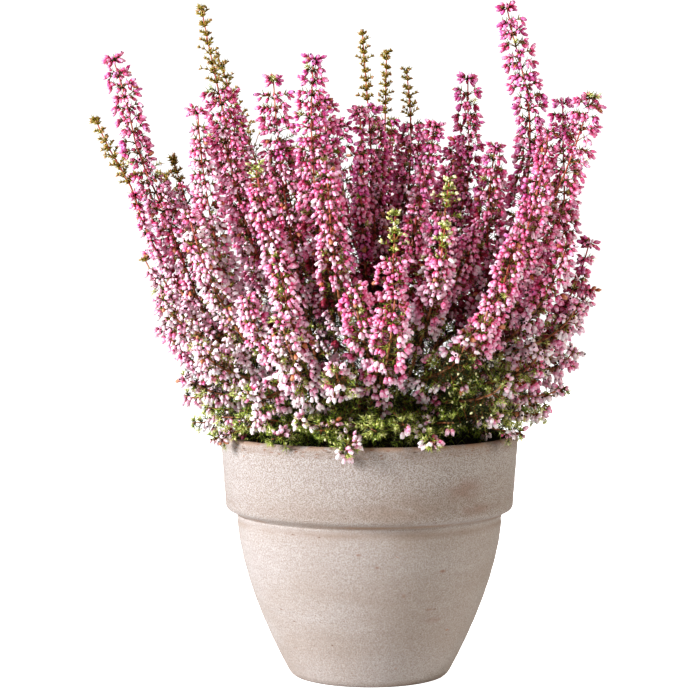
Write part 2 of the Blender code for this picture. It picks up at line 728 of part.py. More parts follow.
def make_sprays(stem, boughs, into):
    tips = all_tips()
    lines = spray_lines(boughs, tips)
    space = Space(lines, [stem, *boughs.values()])
    lozenge = tuft_mesh()
    spikes, skirts = [], []
    for number, (name, group) in enumerate(lines.items()):
        rng = random.Random(SEED + number)
        solids = []
        for k, line in enumerate(group):
            half, bare = (tips[name][k].half, tips[name][k].bare) if name in tips else (SKIRT_HALF, 1e3)
            solids += spike_solids(space, name, line, half, bare, k == 0, rng, lozenge, into)
        (spikes if name in tips else skirts).append(joined(name, solids, into))
    bpy.data.meshes.remove(lozenge)
    return spikes, skirts


def dress(objects, look):
    for obj in objects:
        obj.data.materials.clear()
        obj.data.materials.append(look)


def main():
    clear_scene()
    heath = collection("potted_cape_heath")
    cutters = collection("cutters")
    dress([make_pot(heath, cutters)], material("weathered_clay", (0.56, 0.50, 0.44), 0.9))
    dress([make_compost(heath)], material("moist_compost", (0.035, 0.022, 0.015), 1.0))
    limbs, stem, boughs = make_limbs(heath)
    dress(limbs, material("red_brown_bark", (0.23, 0.09, 0.05), 0.75))
    spikes, skirts = make_sprays(stem, boughs, heath)
    dress(spikes, material("pink_bells", (0.66, 0.22, 0.40), 0.6))
    dress(skirts, material("needle_leaves", (0.09, 0.17, 0.04), 0.65))


main()
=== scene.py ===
"""Looks of the potted cape heath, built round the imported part.

The frame is the part's: the origin is the middle of the pot's underside, X to the right, Y to the back
and Z up. Sizes are in millimetres until MM turns them into Blender's metres. Materials are in metres.
"""

import math
import random
from collections import namedtuple

import bpy
import numpy as np
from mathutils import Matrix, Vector
from mathutils.kdtree import KDTree


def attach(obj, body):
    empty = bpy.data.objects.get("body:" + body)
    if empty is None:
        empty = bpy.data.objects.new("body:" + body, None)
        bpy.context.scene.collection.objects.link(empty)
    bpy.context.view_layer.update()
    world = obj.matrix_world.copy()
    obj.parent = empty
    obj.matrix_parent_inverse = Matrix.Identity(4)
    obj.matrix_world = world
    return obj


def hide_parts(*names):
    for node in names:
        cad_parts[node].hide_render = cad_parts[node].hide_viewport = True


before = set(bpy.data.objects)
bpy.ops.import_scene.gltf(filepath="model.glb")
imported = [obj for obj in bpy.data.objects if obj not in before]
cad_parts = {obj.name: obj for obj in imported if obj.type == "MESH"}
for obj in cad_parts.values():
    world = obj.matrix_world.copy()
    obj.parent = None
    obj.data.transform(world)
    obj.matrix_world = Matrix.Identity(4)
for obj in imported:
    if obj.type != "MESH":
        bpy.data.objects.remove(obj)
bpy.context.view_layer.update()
cad_names = sorted(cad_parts)


# Pot. A clay pot thrown on a wheel, with a deep collar round its mouth and three drain holes in its
# foot. The clay is washed with lime outside, so it is a warm grey-white with dark specks, rusty
# flecks, the potter's fine rings and a brown water stain on the collar.
MM = 0.001
POT_HEIGHT = 130.0
RIM_RADIUS = 80.0
COLLAR_FOOT = (77.2, 92.4)  # the radius and the height of the collar's lower edge
NECK_RADIUS = 71.2
NECK_Z = 86.5
FOOT_RADIUS = 42.0
FOOT_DISC = 39.8
BELLY_POWER = 1.62
WALL = 7.0
FLOOR = 9.0
POT_SIDES = 128
RING_STEP = 2.1
FINE_RINGS = (0.03, 1.7)  # the potter's finger rings: how deep, and how close together up the wall
BROAD_RINGS = (0.05, 0.61)
RIM_GROOVE = 0.12
RIM_GROOVE_Z = 124.2
DRAIN_HOLES = 3
DRAIN_RADIUS = 4.0
DRAIN_RING = 21.0
DRAIN_SIDES = 32
SOFT_EDGE = 40  # edges that turn by fewer degrees than this are smooth
# The pot's rounded edges, as rings of (radius, height).
FOOT_ROLL = ((41.0, 0.35), (42.2, 1.3))
NECK_ROLL = ((70.7, 85.2), (71.15, 86.1), (71.2, 86.6), (71.1, 87.2))
COLLAR_ROLL = ((72.6, 88.5), (74.4, 89.4), (75.9, 90.2), (76.8, 91.2), COLLAR_FOOT)
RIM_OUTSIDE = ((79.9, 127.4), (79.5, 128.8), (78.5, 129.7), (77.0, 130.0))
RIM_INSIDE = ((75.4, 129.8), (74.2, 129.0), (73.3, 127.6))
INNER_LEVELS = (125, 118, 104, NECK_Z, 70, 50, 30, 14)


def wall_radius(z):
    """The outer radius of the pot's body at a height, from its foot to its neck."""
    share = min(max(z / NECK_Z, 0), 1)
    return FOOT_RADIUS + (NECK_RADIUS - FOOT_RADIUS) * (1 - (1 - share) ** BELLY_POWER)


def inner_radius(z):
    """The inner radius of the pot, which follows its wall and runs straight behind the collar."""
    if z < NECK_Z:
        return wall_radius(z) - WALL
    share = (z - NECK_Z) / (POT_HEIGHT - NECK_Z)
    return NECK_RADIUS - WALL + (RIM_RADIUS - NECK_RADIUS) * share


def thrown(z):
    """How far a potter's finger rings stand in or out of the wall at a height."""
    fine = FINE_RINGS[0] * math.sin(z * FINE_RINGS[1])
    broad = BROAD_RINGS[0] * math.sin(z * BROAD_RINGS[1] + 1)
    return fine + broad - BROAD_RINGS[0]


def pot_rings():
    """The pot's rings of (radius, height): up its outer side, over the rim and down to its floor."""
    levels = np.arange(3.0, NECK_Z - 1, RING_STEP)[:-1]
    body = [(wall_radius(z) + thrown(z), z) for z in levels]
    collar = []
    for z in np.arange(COLLAR_FOOT[1] + RING_STEP, 127, RING_STEP):
        share = (z - COLLAR_FOOT[1]) / (POT_HEIGHT - COLLAR_FOOT[1])
        wide = COLLAR_FOOT[0] + (RIM_RADIUS - COLLAR_FOOT[0]) * share + thrown(z)
        collar.append((wide - (RIM_GROOVE if z > RIM_GROOVE_Z else 0), z))
    inside = [(inner_radius(z), z) for z in INNER_LEVELS]
    corner = [(inner_radius(10), 10.4), (inner_radius(FLOOR) - 4, FLOOR)]
    up = [*FOOT_ROLL, *body, *NECK_ROLL, *COLLAR_ROLL, *collar]
    return [*up, *RIM_OUTSIDE, *RIM_INSIDE, *inside, *corner]


def begin(name, radius, height, sides):
    """Starts a turned piece as a flat disc, and leaves the disc selected in edit mode."""
    bpy.ops.object.select_all(action="DESELECT")
    bpy.ops.mesh.primitive_circle_add(
        vertices=sides, radius=radius * MM, fill_type="NGON", location=(0, 0, height * MM)
    )
    piece = bpy.context.object
    piece.name = piece.data.name = name
    bpy.ops.object.mode_set(mode="EDIT")
    bpy.ops.mesh.select_all(action="SELECT")
    return piece


def draw_up(radius, height, rings):
    """Takes the selected disc through rings of (radius, height), as a wall is drawn up on a wheel."""
    for wide, level in rings:
        rise = (0, 0, float(level - height) * MM)
        bpy.ops.mesh.extrude_region_move(TRANSFORM_OT_translate={"value": rise})
        grow = float(wide / radius)
        middle = (0, 0, float(level) * MM)
        bpy.ops.transform.resize(value=(grow, grow, 1), center_override=middle)
        radius, height = wide, level


def finish_piece(angle=SOFT_EDGE):
    """Leaves edit mode with the faces outwards, the place in the mesh and soft edges smooth."""
    bpy.ops.mesh.select_all(action="SELECT")
    bpy.ops.mesh.normals_make_consistent(inside=False)
    bpy.ops.object.mode_set(mode="OBJECT")
    bpy.ops.object.transform_apply(location=True, rotation=True, scale=True)
    bpy.ops.object.shade_smooth_by_angle(angle=math.radians(angle))


def apply_modifiers(piece):
    """Applies all of a piece's modifiers, and leaves the piece selected."""
    bpy.ops.object.select_all(action="DESELECT")
    piece.select_set(True)
    bpy.context.view_layer.objects.active = piece
    for modifier in list(piece.modifiers):
        bpy.ops.object.modifier_apply(modifier=modifier.name)


pot = begin("clay_pot", FOOT_DISC, 0, POT_SIDES)
draw_up(FOOT_DISC, 0, pot_rings())
finish_piece()
for number in range(DRAIN_HOLES):
    drain_turn = 2 * math.pi * (number + 0.25) / DRAIN_HOLES
    drain_x = DRAIN_RING * MM * math.cos(drain_turn)
    drain_y = DRAIN_RING * MM * math.sin(drain_turn)
    bpy.ops.object.select_all(action="DESELECT")
    bpy.ops.mesh.primitive_cylinder_add(
        vertices=DRAIN_SIDES,
        radius=DRAIN_RADIUS * MM,
        depth=3 * FLOOR * MM,
        location=(drain_x, drain_y, FLOOR * MM / 2),
    )
    punch = bpy.context.object
    hole = pot.modifiers.new("drain", "BOOLEAN")
    hole.operation = "DIFFERENCE"
    hole.object = punch
    apply_modifiers(pot)
    bpy.data.objects.remove(punch)
bpy.ops.object.shade_smooth_by_angle(angle=math.radians(SOFT_EDGE))

CLAY_SHADE = (0.436, 0.380, 0.340)
CLAY_LIGHT = (0.507, 0.466, 0.444)
CLAY_BLOOM_AND_HIGHLIGHT = (0.550, 0.520, 0.506)
CLAY_RING = (0.34, 0.28, 0.24)
CLAY_GRAIN = (0.24, 0.180, 0.140)
CLAY_BAND = (0.28, 0.195, 0.14)
CLAY_STAIN = (0.29, 0.145, 0.095)
CLAY_CREASE_LINE_AND_SHADE = (0.33, 0.185, 0.10)
CLAY_RUST = (0.27, 0.115, 0.06)
CLAY_BARE = (0.36, 0.22, 0.14)
CLAY_DAMP_AND_SHADE = (0.045, 0.030, 0.022)
# How uneven each thing is: patches to the metre, the noise where the mask is 0 and 1, detail, stretch.
CLAY_PATCHES = (19, 0.38, 0.62, 7, (0.6, 0.6, 1.5))
LIME_BLOOMS = (30, 0.48, 0.80, 8, (0.6, 0.6, 1.6))
FINGER_RINGS = (30, 0.42, 0.62, 3, (0.4, 0.4, 22))
ALONG_BAND = (0.30, 0.60, 4, (1, 1, 2))  # its patches to the metre are in the list of bands
STAIN_AND_SHADE_EDGE = (150, 0.25, 0.55, 5, (1, 1, 1.6))
COLLAR_GRAIN = (1700, 0.40, 0.62, 4)
BODY_GRAIN = (1300, 0.26, 0.78, 4)
RIM_WEAR = (160, 0.30, 0.55, 4)
SPECK_EDGE = (1300, 0.35, 0.55, 2)
RING_DEPTH = 0.07
GRAIN_DEPTH = 0.88
WEAR_DEPTH = 0.75
GRAIN_RELIEF = -0.5  # the dark grain is pits
RING_RELIEF = 0.14
# The heights between which each thing begins.
CRISP_Z = (0.082, 0.092)
WORN_Z = (0.1275, 0.1294)
RIM_BAND_Z = (0.1232, 0.1250)
DAMP_AND_SHADE_Z = 0.094
INNER_WALL = (0.0752, 0.0738)  # the distances from the middle between which the inside begins
# Each band: its middle and half height, depth, colour and patches to the metre along the wall.
CLAY_BANDS = (
    (0.1263, 0.0034, 0.62, CLAY_BAND, 90),
    (0.1236, 0.0006, 0.45, CLAY_BLOOM_AND_HIGHLIGHT, 60),
    (0.0965, 0.0055, 0.30, CLAY_BAND, 45),
    # Under the collar: a brown line in the crease, partly painted shade, then a painted highlight on
    # the neck's ridge and painted shade under the ridge.
    (0.0883, 0.0013, 0.85, CLAY_CREASE_LINE_AND_SHADE, 25),
    (0.0863, 0.0007, 0.35, CLAY_BLOOM_AND_HIGHLIGHT, 60),
    (0.0838, 0.0026, 0.55, CLAY_BAND, 40),
    (0.001, 0.003, 0.60, CLAY_BAND, 60),
)
# Each stain on the front, and one patch of painted shade: its place and half size in X and Z, depth
# and colour.
CLAY_STAINS_AND_SHADE = (
    ((0.0484, 0.1065), (0.0125, 0.0080), 0.50, CLAY_STAIN),
    ((0.0530, 0.0962), (0.0115, 0.0045), 0.45, CLAY_STAIN),
    # This brown patch is painted shade on the collar's front, where it turns away from the lamp.
    ((0.0200, 0.0985), (0.0300, 0.0110), 0.45, CLAY_BAND),
    ((0.0308, 0.0436), (0.0030, 0.0007), 1.00, CLAY_RUST),
    ((0.0372, 0.0640), (0.0022, 0.0011), 0.85, CLAY_RUST),
    ((0.0325, 0.0372), (0.0050, 0.0022), 0.45, CLAY_RUST),
    ((-0.0062, 0.0742), (0.0017, 0.0010), 0.80, CLAY_RUST),
    ((0.0032, 0.0675), (0.0014, 0.0010), 0.80, CLAY_RUST),
    ((0.0170, 0.0520), (0.0015, 0.0016), 0.60, CLAY_RUST),
)
STAIN_AND_SHADE_CORE = 0.3  # up to this share of its half size a stain is at its full depth
# Each kind of speck: cells to the metre, reach in a cell, share of the cells, colour, stretch and
# whether it is only in the band under the rim.
SPECKS = (
    (420, 0.20, 0.06, (0.22, 0.15, 0.11), (1, 1, 1), False),
    (150, 0.17, 0.045, (0.17, 0.09, 0.06), (1, 1, 2.4), False),
    (75, 0.14, 0.05, (0.36, 0.13, 0.06), (1, 1, 3.2), False),
    (420, 0.40, 0.46, (0.24, 0.12, 0.07), (0.6, 0.6, 2.2), True),
    (260, 0.34, 0.26, (0.10, 0.050, 0.032), (0.7, 0.7, 2.8), True),
)


def node(tree, kind, inputs=(), **attributes):
    """Adds a shader node. An input is given a value, or an output that is linked to it."""
    made = tree.nodes.new("ShaderNode" + kind)
    for key, value in attributes.items():
        setattr(made, key, value)
    for key, value in dict(inputs).items():
        if isinstance(value, bpy.types.NodeSocket):
            tree.links.new(value, made.inputs[key])
        else:
            made.inputs[key].default_value = value
    return made


def mottle_group():
    """The uneven patches that clay, compost, bark, petals and leaves all show: a stretched noise."""
    tree = bpy.data.node_groups.new("mottle", "ShaderNodeTree")
    tree.interface.new_socket("Stretch", in_out="INPUT", socket_type="NodeSocketVector")
    for name in ("Scale", "Detail", "Low", "High"):
        tree.interface.new_socket(name, in_out="INPUT", socket_type="NodeSocketFloat")
    tree.interface.new_socket("Mask", in_out="OUTPUT", socket_type="NodeSocketFloat")
    given = tree.nodes.new("NodeGroupInput").outputs
    place = node(tree, "TexCoord").outputs["Object"]
    laid = node(tree, "Mapping", {"Vector": place, "Scale": given["Stretch"]}).outputs[0]
    grain = {"Vector": laid, "Scale": given["Scale"], "Detail": given["Detail"]}
    noise = node(tree, "TexNoise", grain).outputs[0]
    spread = {"Value": noise, "From Min": given["Low"], "From Max": given["High"]}
    mask = node(tree, "MapRange", spread).outputs[0]
    out = tree.nodes.new("NodeGroupOutput")
    tree.links.new(mask, out.inputs["Mask"])
    return tree


mottle_tree = mottle_group()


def mottle(tree, scale, low=0.35, high=0.65, detail=4.0, stretch=(1, 1, 1)):
    """A mask of uneven patches, scale to the metre: 0 where the noise is low, 1 where it is high."""
    made = tree.nodes.new("ShaderNodeGroup")
    made.node_tree = mottle_tree
    given = {"Stretch": stretch, "Scale": scale, "Detail": detail, "Low": low, "High": high}
    for key, value in given.items():
        made.inputs[key].default_value = value
    return made.outputs["Mask"]


def blend(tree, mask, under, over):
    """A colour that goes from one to another with a mask. Either may be a colour or an output."""
    made = node(tree, "Mix", data_type="RGBA")
    sockets = [s for s in made.inputs if s.type == "RGBA"]
    tree.links.new(mask, made.inputs[0])
    for socket, value in zip(sockets, (under, over)):
        if isinstance(value, bpy.types.NodeSocket):
            tree.links.new(value, socket)
        else:
            socket.default_value = (*value, 1)
    return next(s for s in made.outputs if s.type == "RGBA")


def maths(tree, operation, first, second=0.0):
    """One sum on two numbers or outputs."""
    return node(tree, "Math", {0: first, 1: second}, operation=operation).outputs[0]


def times(tree, first, second):
    """The product of two masks, or of a mask and a depth."""
    return maths(tree, "MULTIPLY", first, second)


def fade(tree, value, none, full):
    """A mask that rises from 0 to 1 as a value goes from one number to the other."""
    return node(tree, "MapRange", {"Value": value, "From Min": none, "From Max": full}).outputs[0]


def new_material(name, roughness):
    """A material with its tree and its shader."""
    made = bpy.data.materials.new(name)
    made.use_nodes = True
    shader = made.node_tree.nodes["Principled BSDF"]
    shader.inputs["Roughness"].default_value = roughness
    return made, made.node_tree, shader


def roughen(tree, shader, mask, low, high):
    """Varies the roughness with a mask, between two values."""
    rough = node(tree, "MapRange", {"Value": mask, "To Min": low, "To Max": high})
    tree.links.new(rough.outputs[0], shader.inputs["Roughness"])


def relief(tree, shader, height, distance, strength=1.0):
    """Raises a mask out of the surface by a distance, as bump."""
    bump = node(tree, "Bump", {"Height": height, "Distance": distance, "Strength": strength})
    tree.links.new(bump.outputs[0], shader.inputs["Normal"])


def limed_clay():
    """Clay under lime: patches, finger rings, bands, stains, grain, wear, specks and a damp inside,
    with painted shade under the collar, on its front and inside, and a painted highlight on the neck's
    ridge.
    """
    made, tree, shader = new_material("limed_clay", 0.9)
    place = node(tree, "TexCoord").outputs["Object"]
    x, y, z = node(tree, "SeparateXYZ", {"Vector": place}).outputs
    patches = mottle(tree, *CLAY_PATCHES)
    colour = blend(tree, patches, CLAY_SHADE, CLAY_LIGHT)
    colour = blend(tree, mottle(tree, *LIME_BLOOMS), colour, CLAY_BLOOM_AND_HIGHLIGHT)
    rings = mottle(tree, *FINGER_RINGS)
    colour = blend(tree, times(tree, rings, RING_DEPTH), colour, CLAY_RING)
    for middle, half_height, depth, tint, scale in CLAY_BANDS:
        off = maths(tree, "ABSOLUTE", maths(tree, "SUBTRACT", z, middle))
        band = times(tree, fade(tree, off, half_height, 0.0), mottle(tree, scale, *ALONG_BAND))
        colour = blend(tree, times(tree, band, depth), colour, tint)
    in_front = maths(tree, "LESS_THAN", y, 0.0)
    for (middle_x, middle_z), (wide, high), depth, tint in CLAY_STAINS_AND_SHADE:
        aside = maths(tree, "DIVIDE", maths(tree, "SUBTRACT", x, middle_x), wide)
        above = maths(tree, "DIVIDE", maths(tree, "SUBTRACT", z, middle_z), high)
        squares = [maths(tree, "POWER", maths(tree, "ABSOLUTE", off), 2.0) for off in (aside, above)]
        far = maths(tree, "SQRT", maths(tree, "ADD", *squares))
        stain_and_shade = times(tree, fade(tree, far, 1.0, STAIN_AND_SHADE_CORE), mottle(tree, *STAIN_AND_SHADE_EDGE))
        stain_and_shade = times(tree, stain_and_shade, in_front)
        colour = blend(tree, times(tree, stain_and_shade, depth), colour, tint)
    # The grain is crisp on the collar and soft on the body under it.
    on_collar = fade(tree, z, *CRISP_Z)
    on_body = maths(tree, "SUBTRACT", 1.0, on_collar)
    crisp = times(tree, mottle(tree, *COLLAR_GRAIN), on_collar)
    soft = times(tree, mottle(tree, *BODY_GRAIN), on_body)
    grain = maths(tree, "ADD", crisp, soft)
    colour = blend(tree, times(tree, grain, GRAIN_DEPTH), colour, CLAY_GRAIN)
    worn = times(tree, fade(tree, z, *WORN_Z), mottle(tree, *RIM_WEAR))
    colour = blend(tree, times(tree, worn, WEAR_DEPTH), colour, CLAY_BARE)
    in_rim_band = fade(tree, z, *RIM_BAND_Z)
    for scale, reach, density, tint, stretch, rim_only in SPECKS:
        laid = node(tree, "Mapping", {"Vector": place, "Scale": stretch}).outputs[0]
        cells = node(tree, "TexVoronoi", {"Vector": laid, "Scale": scale}).outputs
        chosen = node(tree, "SeparateColor", {"Color": cells["Color"]}).outputs[0]
        chosen = maths(tree, "LESS_THAN", chosen, density)
        if rim_only:
            chosen = times(tree, chosen, in_rim_band)
        dot = fade(tree, cells["Distance"], reach, reach * 0.4)
        dot = times(tree, dot, mottle(tree, *SPECK_EDGE))
        colour = blend(tree, times(tree, dot, chosen), colour, tint)
    # The inside is bare damp clay, made nearly black with painted shade.
    across = node(tree, "CombineXYZ", {"X": x, "Y": y}).outputs[0]
    out = node(tree, "VectorMath", {0: across}, operation="LENGTH").outputs["Value"]
    high_up = maths(tree, "GREATER_THAN", z, DAMP_AND_SHADE_Z)
    inside = times(tree, fade(tree, out, *INNER_WALL), high_up)
    colour = blend(tree, inside, colour, CLAY_DAMP_AND_SHADE)
    tree.links.new(colour, shader.inputs["Base Color"])
    roughen(tree, shader, patches, 0.82, 0.95)
    ridge = maths(tree, "ADD", times(tree, grain, GRAIN_RELIEF), times(tree, rings, RING_RELIEF))
    relief(tree, shader, ridge, 0.0004, 0.8)
    return made


pot.data.materials.append(limed_clay())
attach(pot, "root")
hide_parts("pot")


# Compost. Moist peat with short fibres, pressed in to a finger's width under the rim and a little
# higher round the stem. Loose crumbs of it lie on top.
SOIL_Z = 117.0
SOIL_DOME = 1.2
SOIL_DEPTH = 6.0
SOIL_SIDES = 96
SOIL_RINGS = 26
SOIL_BEVEL = 0.6
SOIL_EDGE = inner_radius(SOIL_Z) - 0.3
SOIL_LUMPS = 1.6
CRUMBS = 420
CRUMB_SIZE = (0.9, 2.6)
PEAT_DARK = (0.016, 0.010, 0.007)
PEAT_BROWN = (0.060, 0.036, 0.022)
PEAT_FIBRE = (0.16, 0.10, 0.06)
PEAT_PATCHES = (260, 0.35, 0.65, 5)
PEAT_FIBRES = (420, 0.60, 0.68, 3, (1, 0.2, 1))
PEAT_CRUMBLE = (900, 0.3, 0.7, 4)


def soil_top(out):
    """The height of the compost at a distance from the pot's middle."""
    return SOIL_Z + SOIL_DOME * (1 - (out / inner_radius(SOIL_Z)) ** 2)


compost = begin("compost_top", SOIL_EDGE - SOIL_BEVEL, SOIL_Z - SOIL_DEPTH, SOIL_SIDES)
soil_rings = [(SOIL_EDGE, SOIL_Z - 1.0)]
for number in range(SOIL_RINGS):
    out = SOIL_EDGE * (1 - (number + 0.5) / (SOIL_RINGS + 1))
    soil_rings.append((out, soil_top(out) - 0.9))
draw_up(SOIL_EDGE - SOIL_BEVEL, SOIL_Z - SOIL_DEPTH, soil_rings)
finish_piece(60)
lumps = bpy.data.textures.new("peat_lumps", "CLOUDS")
lumps.noise_scale = 0.0035
lumps.noise_depth = 3
heave = compost.modifiers.new("lumps", "DISPLACE")
heave.texture = lumps
heave.direction = "Z"
heave.strength = SOIL_LUMPS * MM
heave.mid_level = 0.5
apply_modifiers(compost)


def joined_mesh(name, corners, triangles, slots=None):
    """One mesh from arrays of corners in millimetres, triangles and the material slot of each."""
    mesh = bpy.data.meshes.new(name)
    mesh.vertices.add(len(corners))
    mesh.vertices.foreach_set("co", (np.asarray(corners) * MM).astype(np.float32).ravel())
    mesh.loops.add(3 * len(triangles))
    mesh.loops.foreach_set("vertex_index", np.asarray(triangles).astype(np.int32).ravel())
    mesh.polygons.add(len(triangles))
    mesh.polygons.foreach_set("loop_start", np.arange(0, 3 * len(triangles), 3, dtype=np.int32))
    if slots is not None:
        mesh.polygons.foreach_set("material_index", np.asarray(slots).astype(np.int32))
    mesh.update(calc_edges=True)
    mesh.shade_smooth()
    obj = bpy.data.objects.new(name, mesh)
    bpy.context.scene.collection.objects.link(obj)
    return obj


def turned_shape(sides, rings, bands=None):
    """A small turned shape from rings of (radius, height), where radius 0 is a pole.

    Returns its corners, its triangles and the material slot of each triangle."""
    corners, levels = [], []
    for k, (radius, height) in enumerate(rings):
        levels.append(len(corners))
        if radius == 0:
            corners.append((0, 0, height))
            continue
        for i in range(sides):
            turn = math.tau * (i + 0.5 * (k % 2)) / sides
            corners.append((radius * math.cos(turn), radius * math.sin(turn), height))
    triangles, slots = [], []
    for k in range(len(rings) - 1):
        low, high = levels[k], levels[k + 1]
        for i in range(sides):
            j = (i + 1) % sides
            if rings[k][0] == 0:
                made = [(low, high + j, high + i)]
            elif rings[k + 1][0] == 0:
                made = [(low + i, low + j, high)]
            elif k % 2:
                made = [(low + i, low + j, high + j), (low + i, high + j, high + i)]
            else:
                made = [(low + i, low + j, high + i), (low + j, high + j, high + i)]
            triangles += made
            slots += [bands[k] if bands else 0] * len(made)
    return np.array(corners), np.array(triangles), np.array(slots)


def unit(ways):
    """Directions with their lengths made 1."""
    return ways / np.linalg.norm(ways, axis=1, keepdims=True)


def scattered(shape, places, ways, sizes, turns):
    """Copies of a shape, each at its place along its way, as arrays of corners, triangles and slots."""
    corners, triangles, slots = shape
    ways = unit(ways)
    helper = np.where(np.abs(ways[:, 2:3]) < 0.9, [[0.0, 0.0, 1.0]], [[1.0, 0.0, 0.0]])
    side = unit(np.cross(helper, ways))
    up = np.cross(ways, side)
    cos, sin = np.cos(turns)[:, None], np.sin(turns)[:, None]
    first, second = side * cos + up * sin, up * cos - side * sin
    wide, long = sizes[:, :1], sizes[:, -1:]
    moved = (
        corners[None, :, 0:1] * (first * wide)[:, None, :]
        + corners[None, :, 1:2] * (second * wide)[:, None, :]
        + corners[None, :, 2:3] * (ways * long)[:, None, :]
        + places[:, None, :]
    )
    shift = (np.arange(len(places)) * len(corners))[:, None, None]
    triangles = (triangles[None] + shift).reshape(-1, 3)
    return moved.reshape(-1, 3), triangles, np.tile(slots, len(places))


def any_ways(rng, count):
    """Directions spread evenly over a ball."""
    return unit(rng.normal(size=(count, 3)))


rng = np.random.default_rng(7)
crumb_out = SOIL_EDGE * 0.97 * np.sqrt(rng.random(CRUMBS))
crumb_turn = rng.random(CRUMBS) * math.tau
crumb_places = np.stack(
    [crumb_out * np.cos(crumb_turn), crumb_out * np.sin(crumb_turn), soil_top(crumb_out) - 0.4], axis=1
)
crumb_sizes = rng.uniform(*CRUMB_SIZE, size=(CRUMBS, 2)) / 2
crumb_shape = turned_shape(5, [(0, -1), (0.8, -0.5), (0.95, 0.35), (0, 0.9)])
crumb_ways = any_ways(rng, CRUMBS)
crumb_arrays = scattered(crumb_shape, crumb_places, crumb_ways, crumb_sizes, crumb_turn)
crumbs = joined_mesh("compost_crumbs", *crumb_arrays[:2])


def mottled(name, roughness, under, over, patches, last=None, spots=None, ridges=None, raised=0.0):
    """A finish with patches of one colour on another, spots of a last one on both, and ridges.

    Patches, spots and ridges are each what mottle() is given."""
    made, tree, shader = new_material(name, roughness)
    colour = blend(tree, mottle(tree, *patches), under, over)
    if spots:
        colour = blend(tree, mottle(tree, *spots), colour, last)
    tree.links.new(colour, shader.inputs["Base Color"])
    if ridges:
        relief(tree, shader, mottle(tree, *ridges), raised)
    return made, tree, shader


peat, _, _ = mottled(
    "moist_peat",
    0.95,
    PEAT_DARK,
    PEAT_BROWN,
    PEAT_PATCHES,
    last=PEAT_FIBRE,
    spots=PEAT_FIBRES,
    ridges=PEAT_CRUMBLE,
    raised=0.0006,
)
for piece in (compost, crumbs):
    piece.data.materials.append(peat)
    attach(piece, "root")
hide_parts("compost")


# Main stem and boughs. The heath's woody foot stands in the compost and forks into thin boughs.
# The bark is red-brown and ridged lengthways, and patches of it are grey with age.
STEM_FOOT = (-2.0, -4.0)
STEM_TOP = (-4.0, -4.0, 148.0)
STEM_RADII = (6.2, 4.9, 4.0, 3.5, 3.2, 2.6)
STEM_RINGS = 60
STEM_RIDGES = 0.7
BOUGH_RIDGES = 0.25
RIDGE_SCALE = 0.0011
BOUGH_FOOT_RADIUS = 1.5
KNUCKLE_RADIUS = 1.25
BOUGH_LEVELS = (125.5, 130.5, 135.5)
BOUGH_RISE = 0.6
BOUGH_BEND = (0.35, 0.25)  # how far a bough keeps its first way, and comes up to its tip, by its length
BOUGH_POINTS = 14
LIMB_GAP = 0.6  # the line of a limb starts this far outside the limb that carries it
SUNK = 1.4  # how far a bough's foot is carried into the main stem
FORK_SPREAD = math.radians(60)
FORK_FAN = math.radians(60)
BARK_DARK = (0.085, 0.032, 0.018)
BARK_RED = (0.27, 0.105, 0.055)
BARK_GREY = (0.25, 0.19, 0.15)
BARK_PATCHES = (420, 0.35, 0.65, 4, (1, 1, 0.25))
BARK_AGED = (180, 0.52, 0.74, 5)
BARK_GRAIN = (1400, 0.3, 0.7, 4, (1, 1, 0.3))

Bough = namedtuple("Bough", "turn reach z")
OUTER_BOUGHS = {
    "west": Bough(187, 43, 141),
    "southwest": Bough(212, 40, 144),
    "south_southwest": Bough(240, 41, 140),
    "south": Bough(268, 38, 143),
    "southeast": Bough(302, 41, 140),
    "east_southeast": Bough(336, 40, 144),
    "east": Bough(5, 58, 147),
    "northeast": Bough(38, 41, 143),
    "north": Bough(76, 40, 140),
    "north_northwest": Bough(112, 41, 144),
    "northwest": Bough(148, 42, 141),
}
INNER_BOUGHS = {
    "inner_left": Bough(200, 15, 160),
    "inner_back": Bough(80, 15, 162),
    "inner_right": Bough(330, 16, 161),
}


def bezier(p0, p1, p2, p3, count):
    """Evenly stepped points on a cubic curve."""
    for i in range(count):
        t = i / (count - 1)
        s = 1 - t
        yield p0 * s**3 + p1 * 3 * s * s * t + p2 * 3 * s * t * t + p3 * t**3


def fork_ways(origin, targets):
    """The directions in which limbs leave a fork: the most upright straight up, the rest fanned."""
    rises = [(t - origin).normalized().z for t in targets]
    upright = rises.index(max(rises))
    outs = {k: (t - origin).xy.normalized() for k, t in enumerate(targets) if k != upright}
    mean = sum(outs.values(), Vector((0, 0)))
    middle = math.atan2(mean.y, mean.x)
    turns = {}
    for k, out in outs.items():
        turns[k] = (math.atan2(out.y, out.x) - middle + math.pi) % math.tau - math.pi
    order = sorted(turns, key=turns.get)
    spread = [turns[k] for k in order]
    for i in range(1, len(spread)):
        spread[i] = max(spread[i], spread[i - 1] + FORK_FAN)
    drift = (sum(spread) - sum(turns.values())) / max(len(spread), 1)
    ways = {upright: Vector((0, 0, 1))}
    for k, turn in zip(order, spread):
        turn += middle - drift
        out = Vector((math.cos(turn), math.sin(turn), 0)) * math.sin(FORK_SPREAD)
        ways[k] = out + Vector((0, 0, math.cos(FORK_SPREAD)))
    return [ways[k] for k in range(len(targets))]


def ring_place(turn, reach, z):
    """The point at a bearing in degrees, a distance from the pot's middle and a height."""
    angle = math.radians(turn)
    return Vector((reach * math.cos(angle), reach * math.sin(angle), z))


def stem_line():
    """The main stem's points and radii, from the flat cut on the compost to its top."""
    foot = Vector((*STEM_FOOT, SOIL_Z + SOIL_DOME + 0.3))
    points = [foot + Vector((0, 0, rise)) for rise in (0, 1.2, 3.6, 8)]
    points += [points[-1].lerp(Vector(STEM_TOP), share) for share in (0.45, 1)]
    return points, list(STEM_RADII)


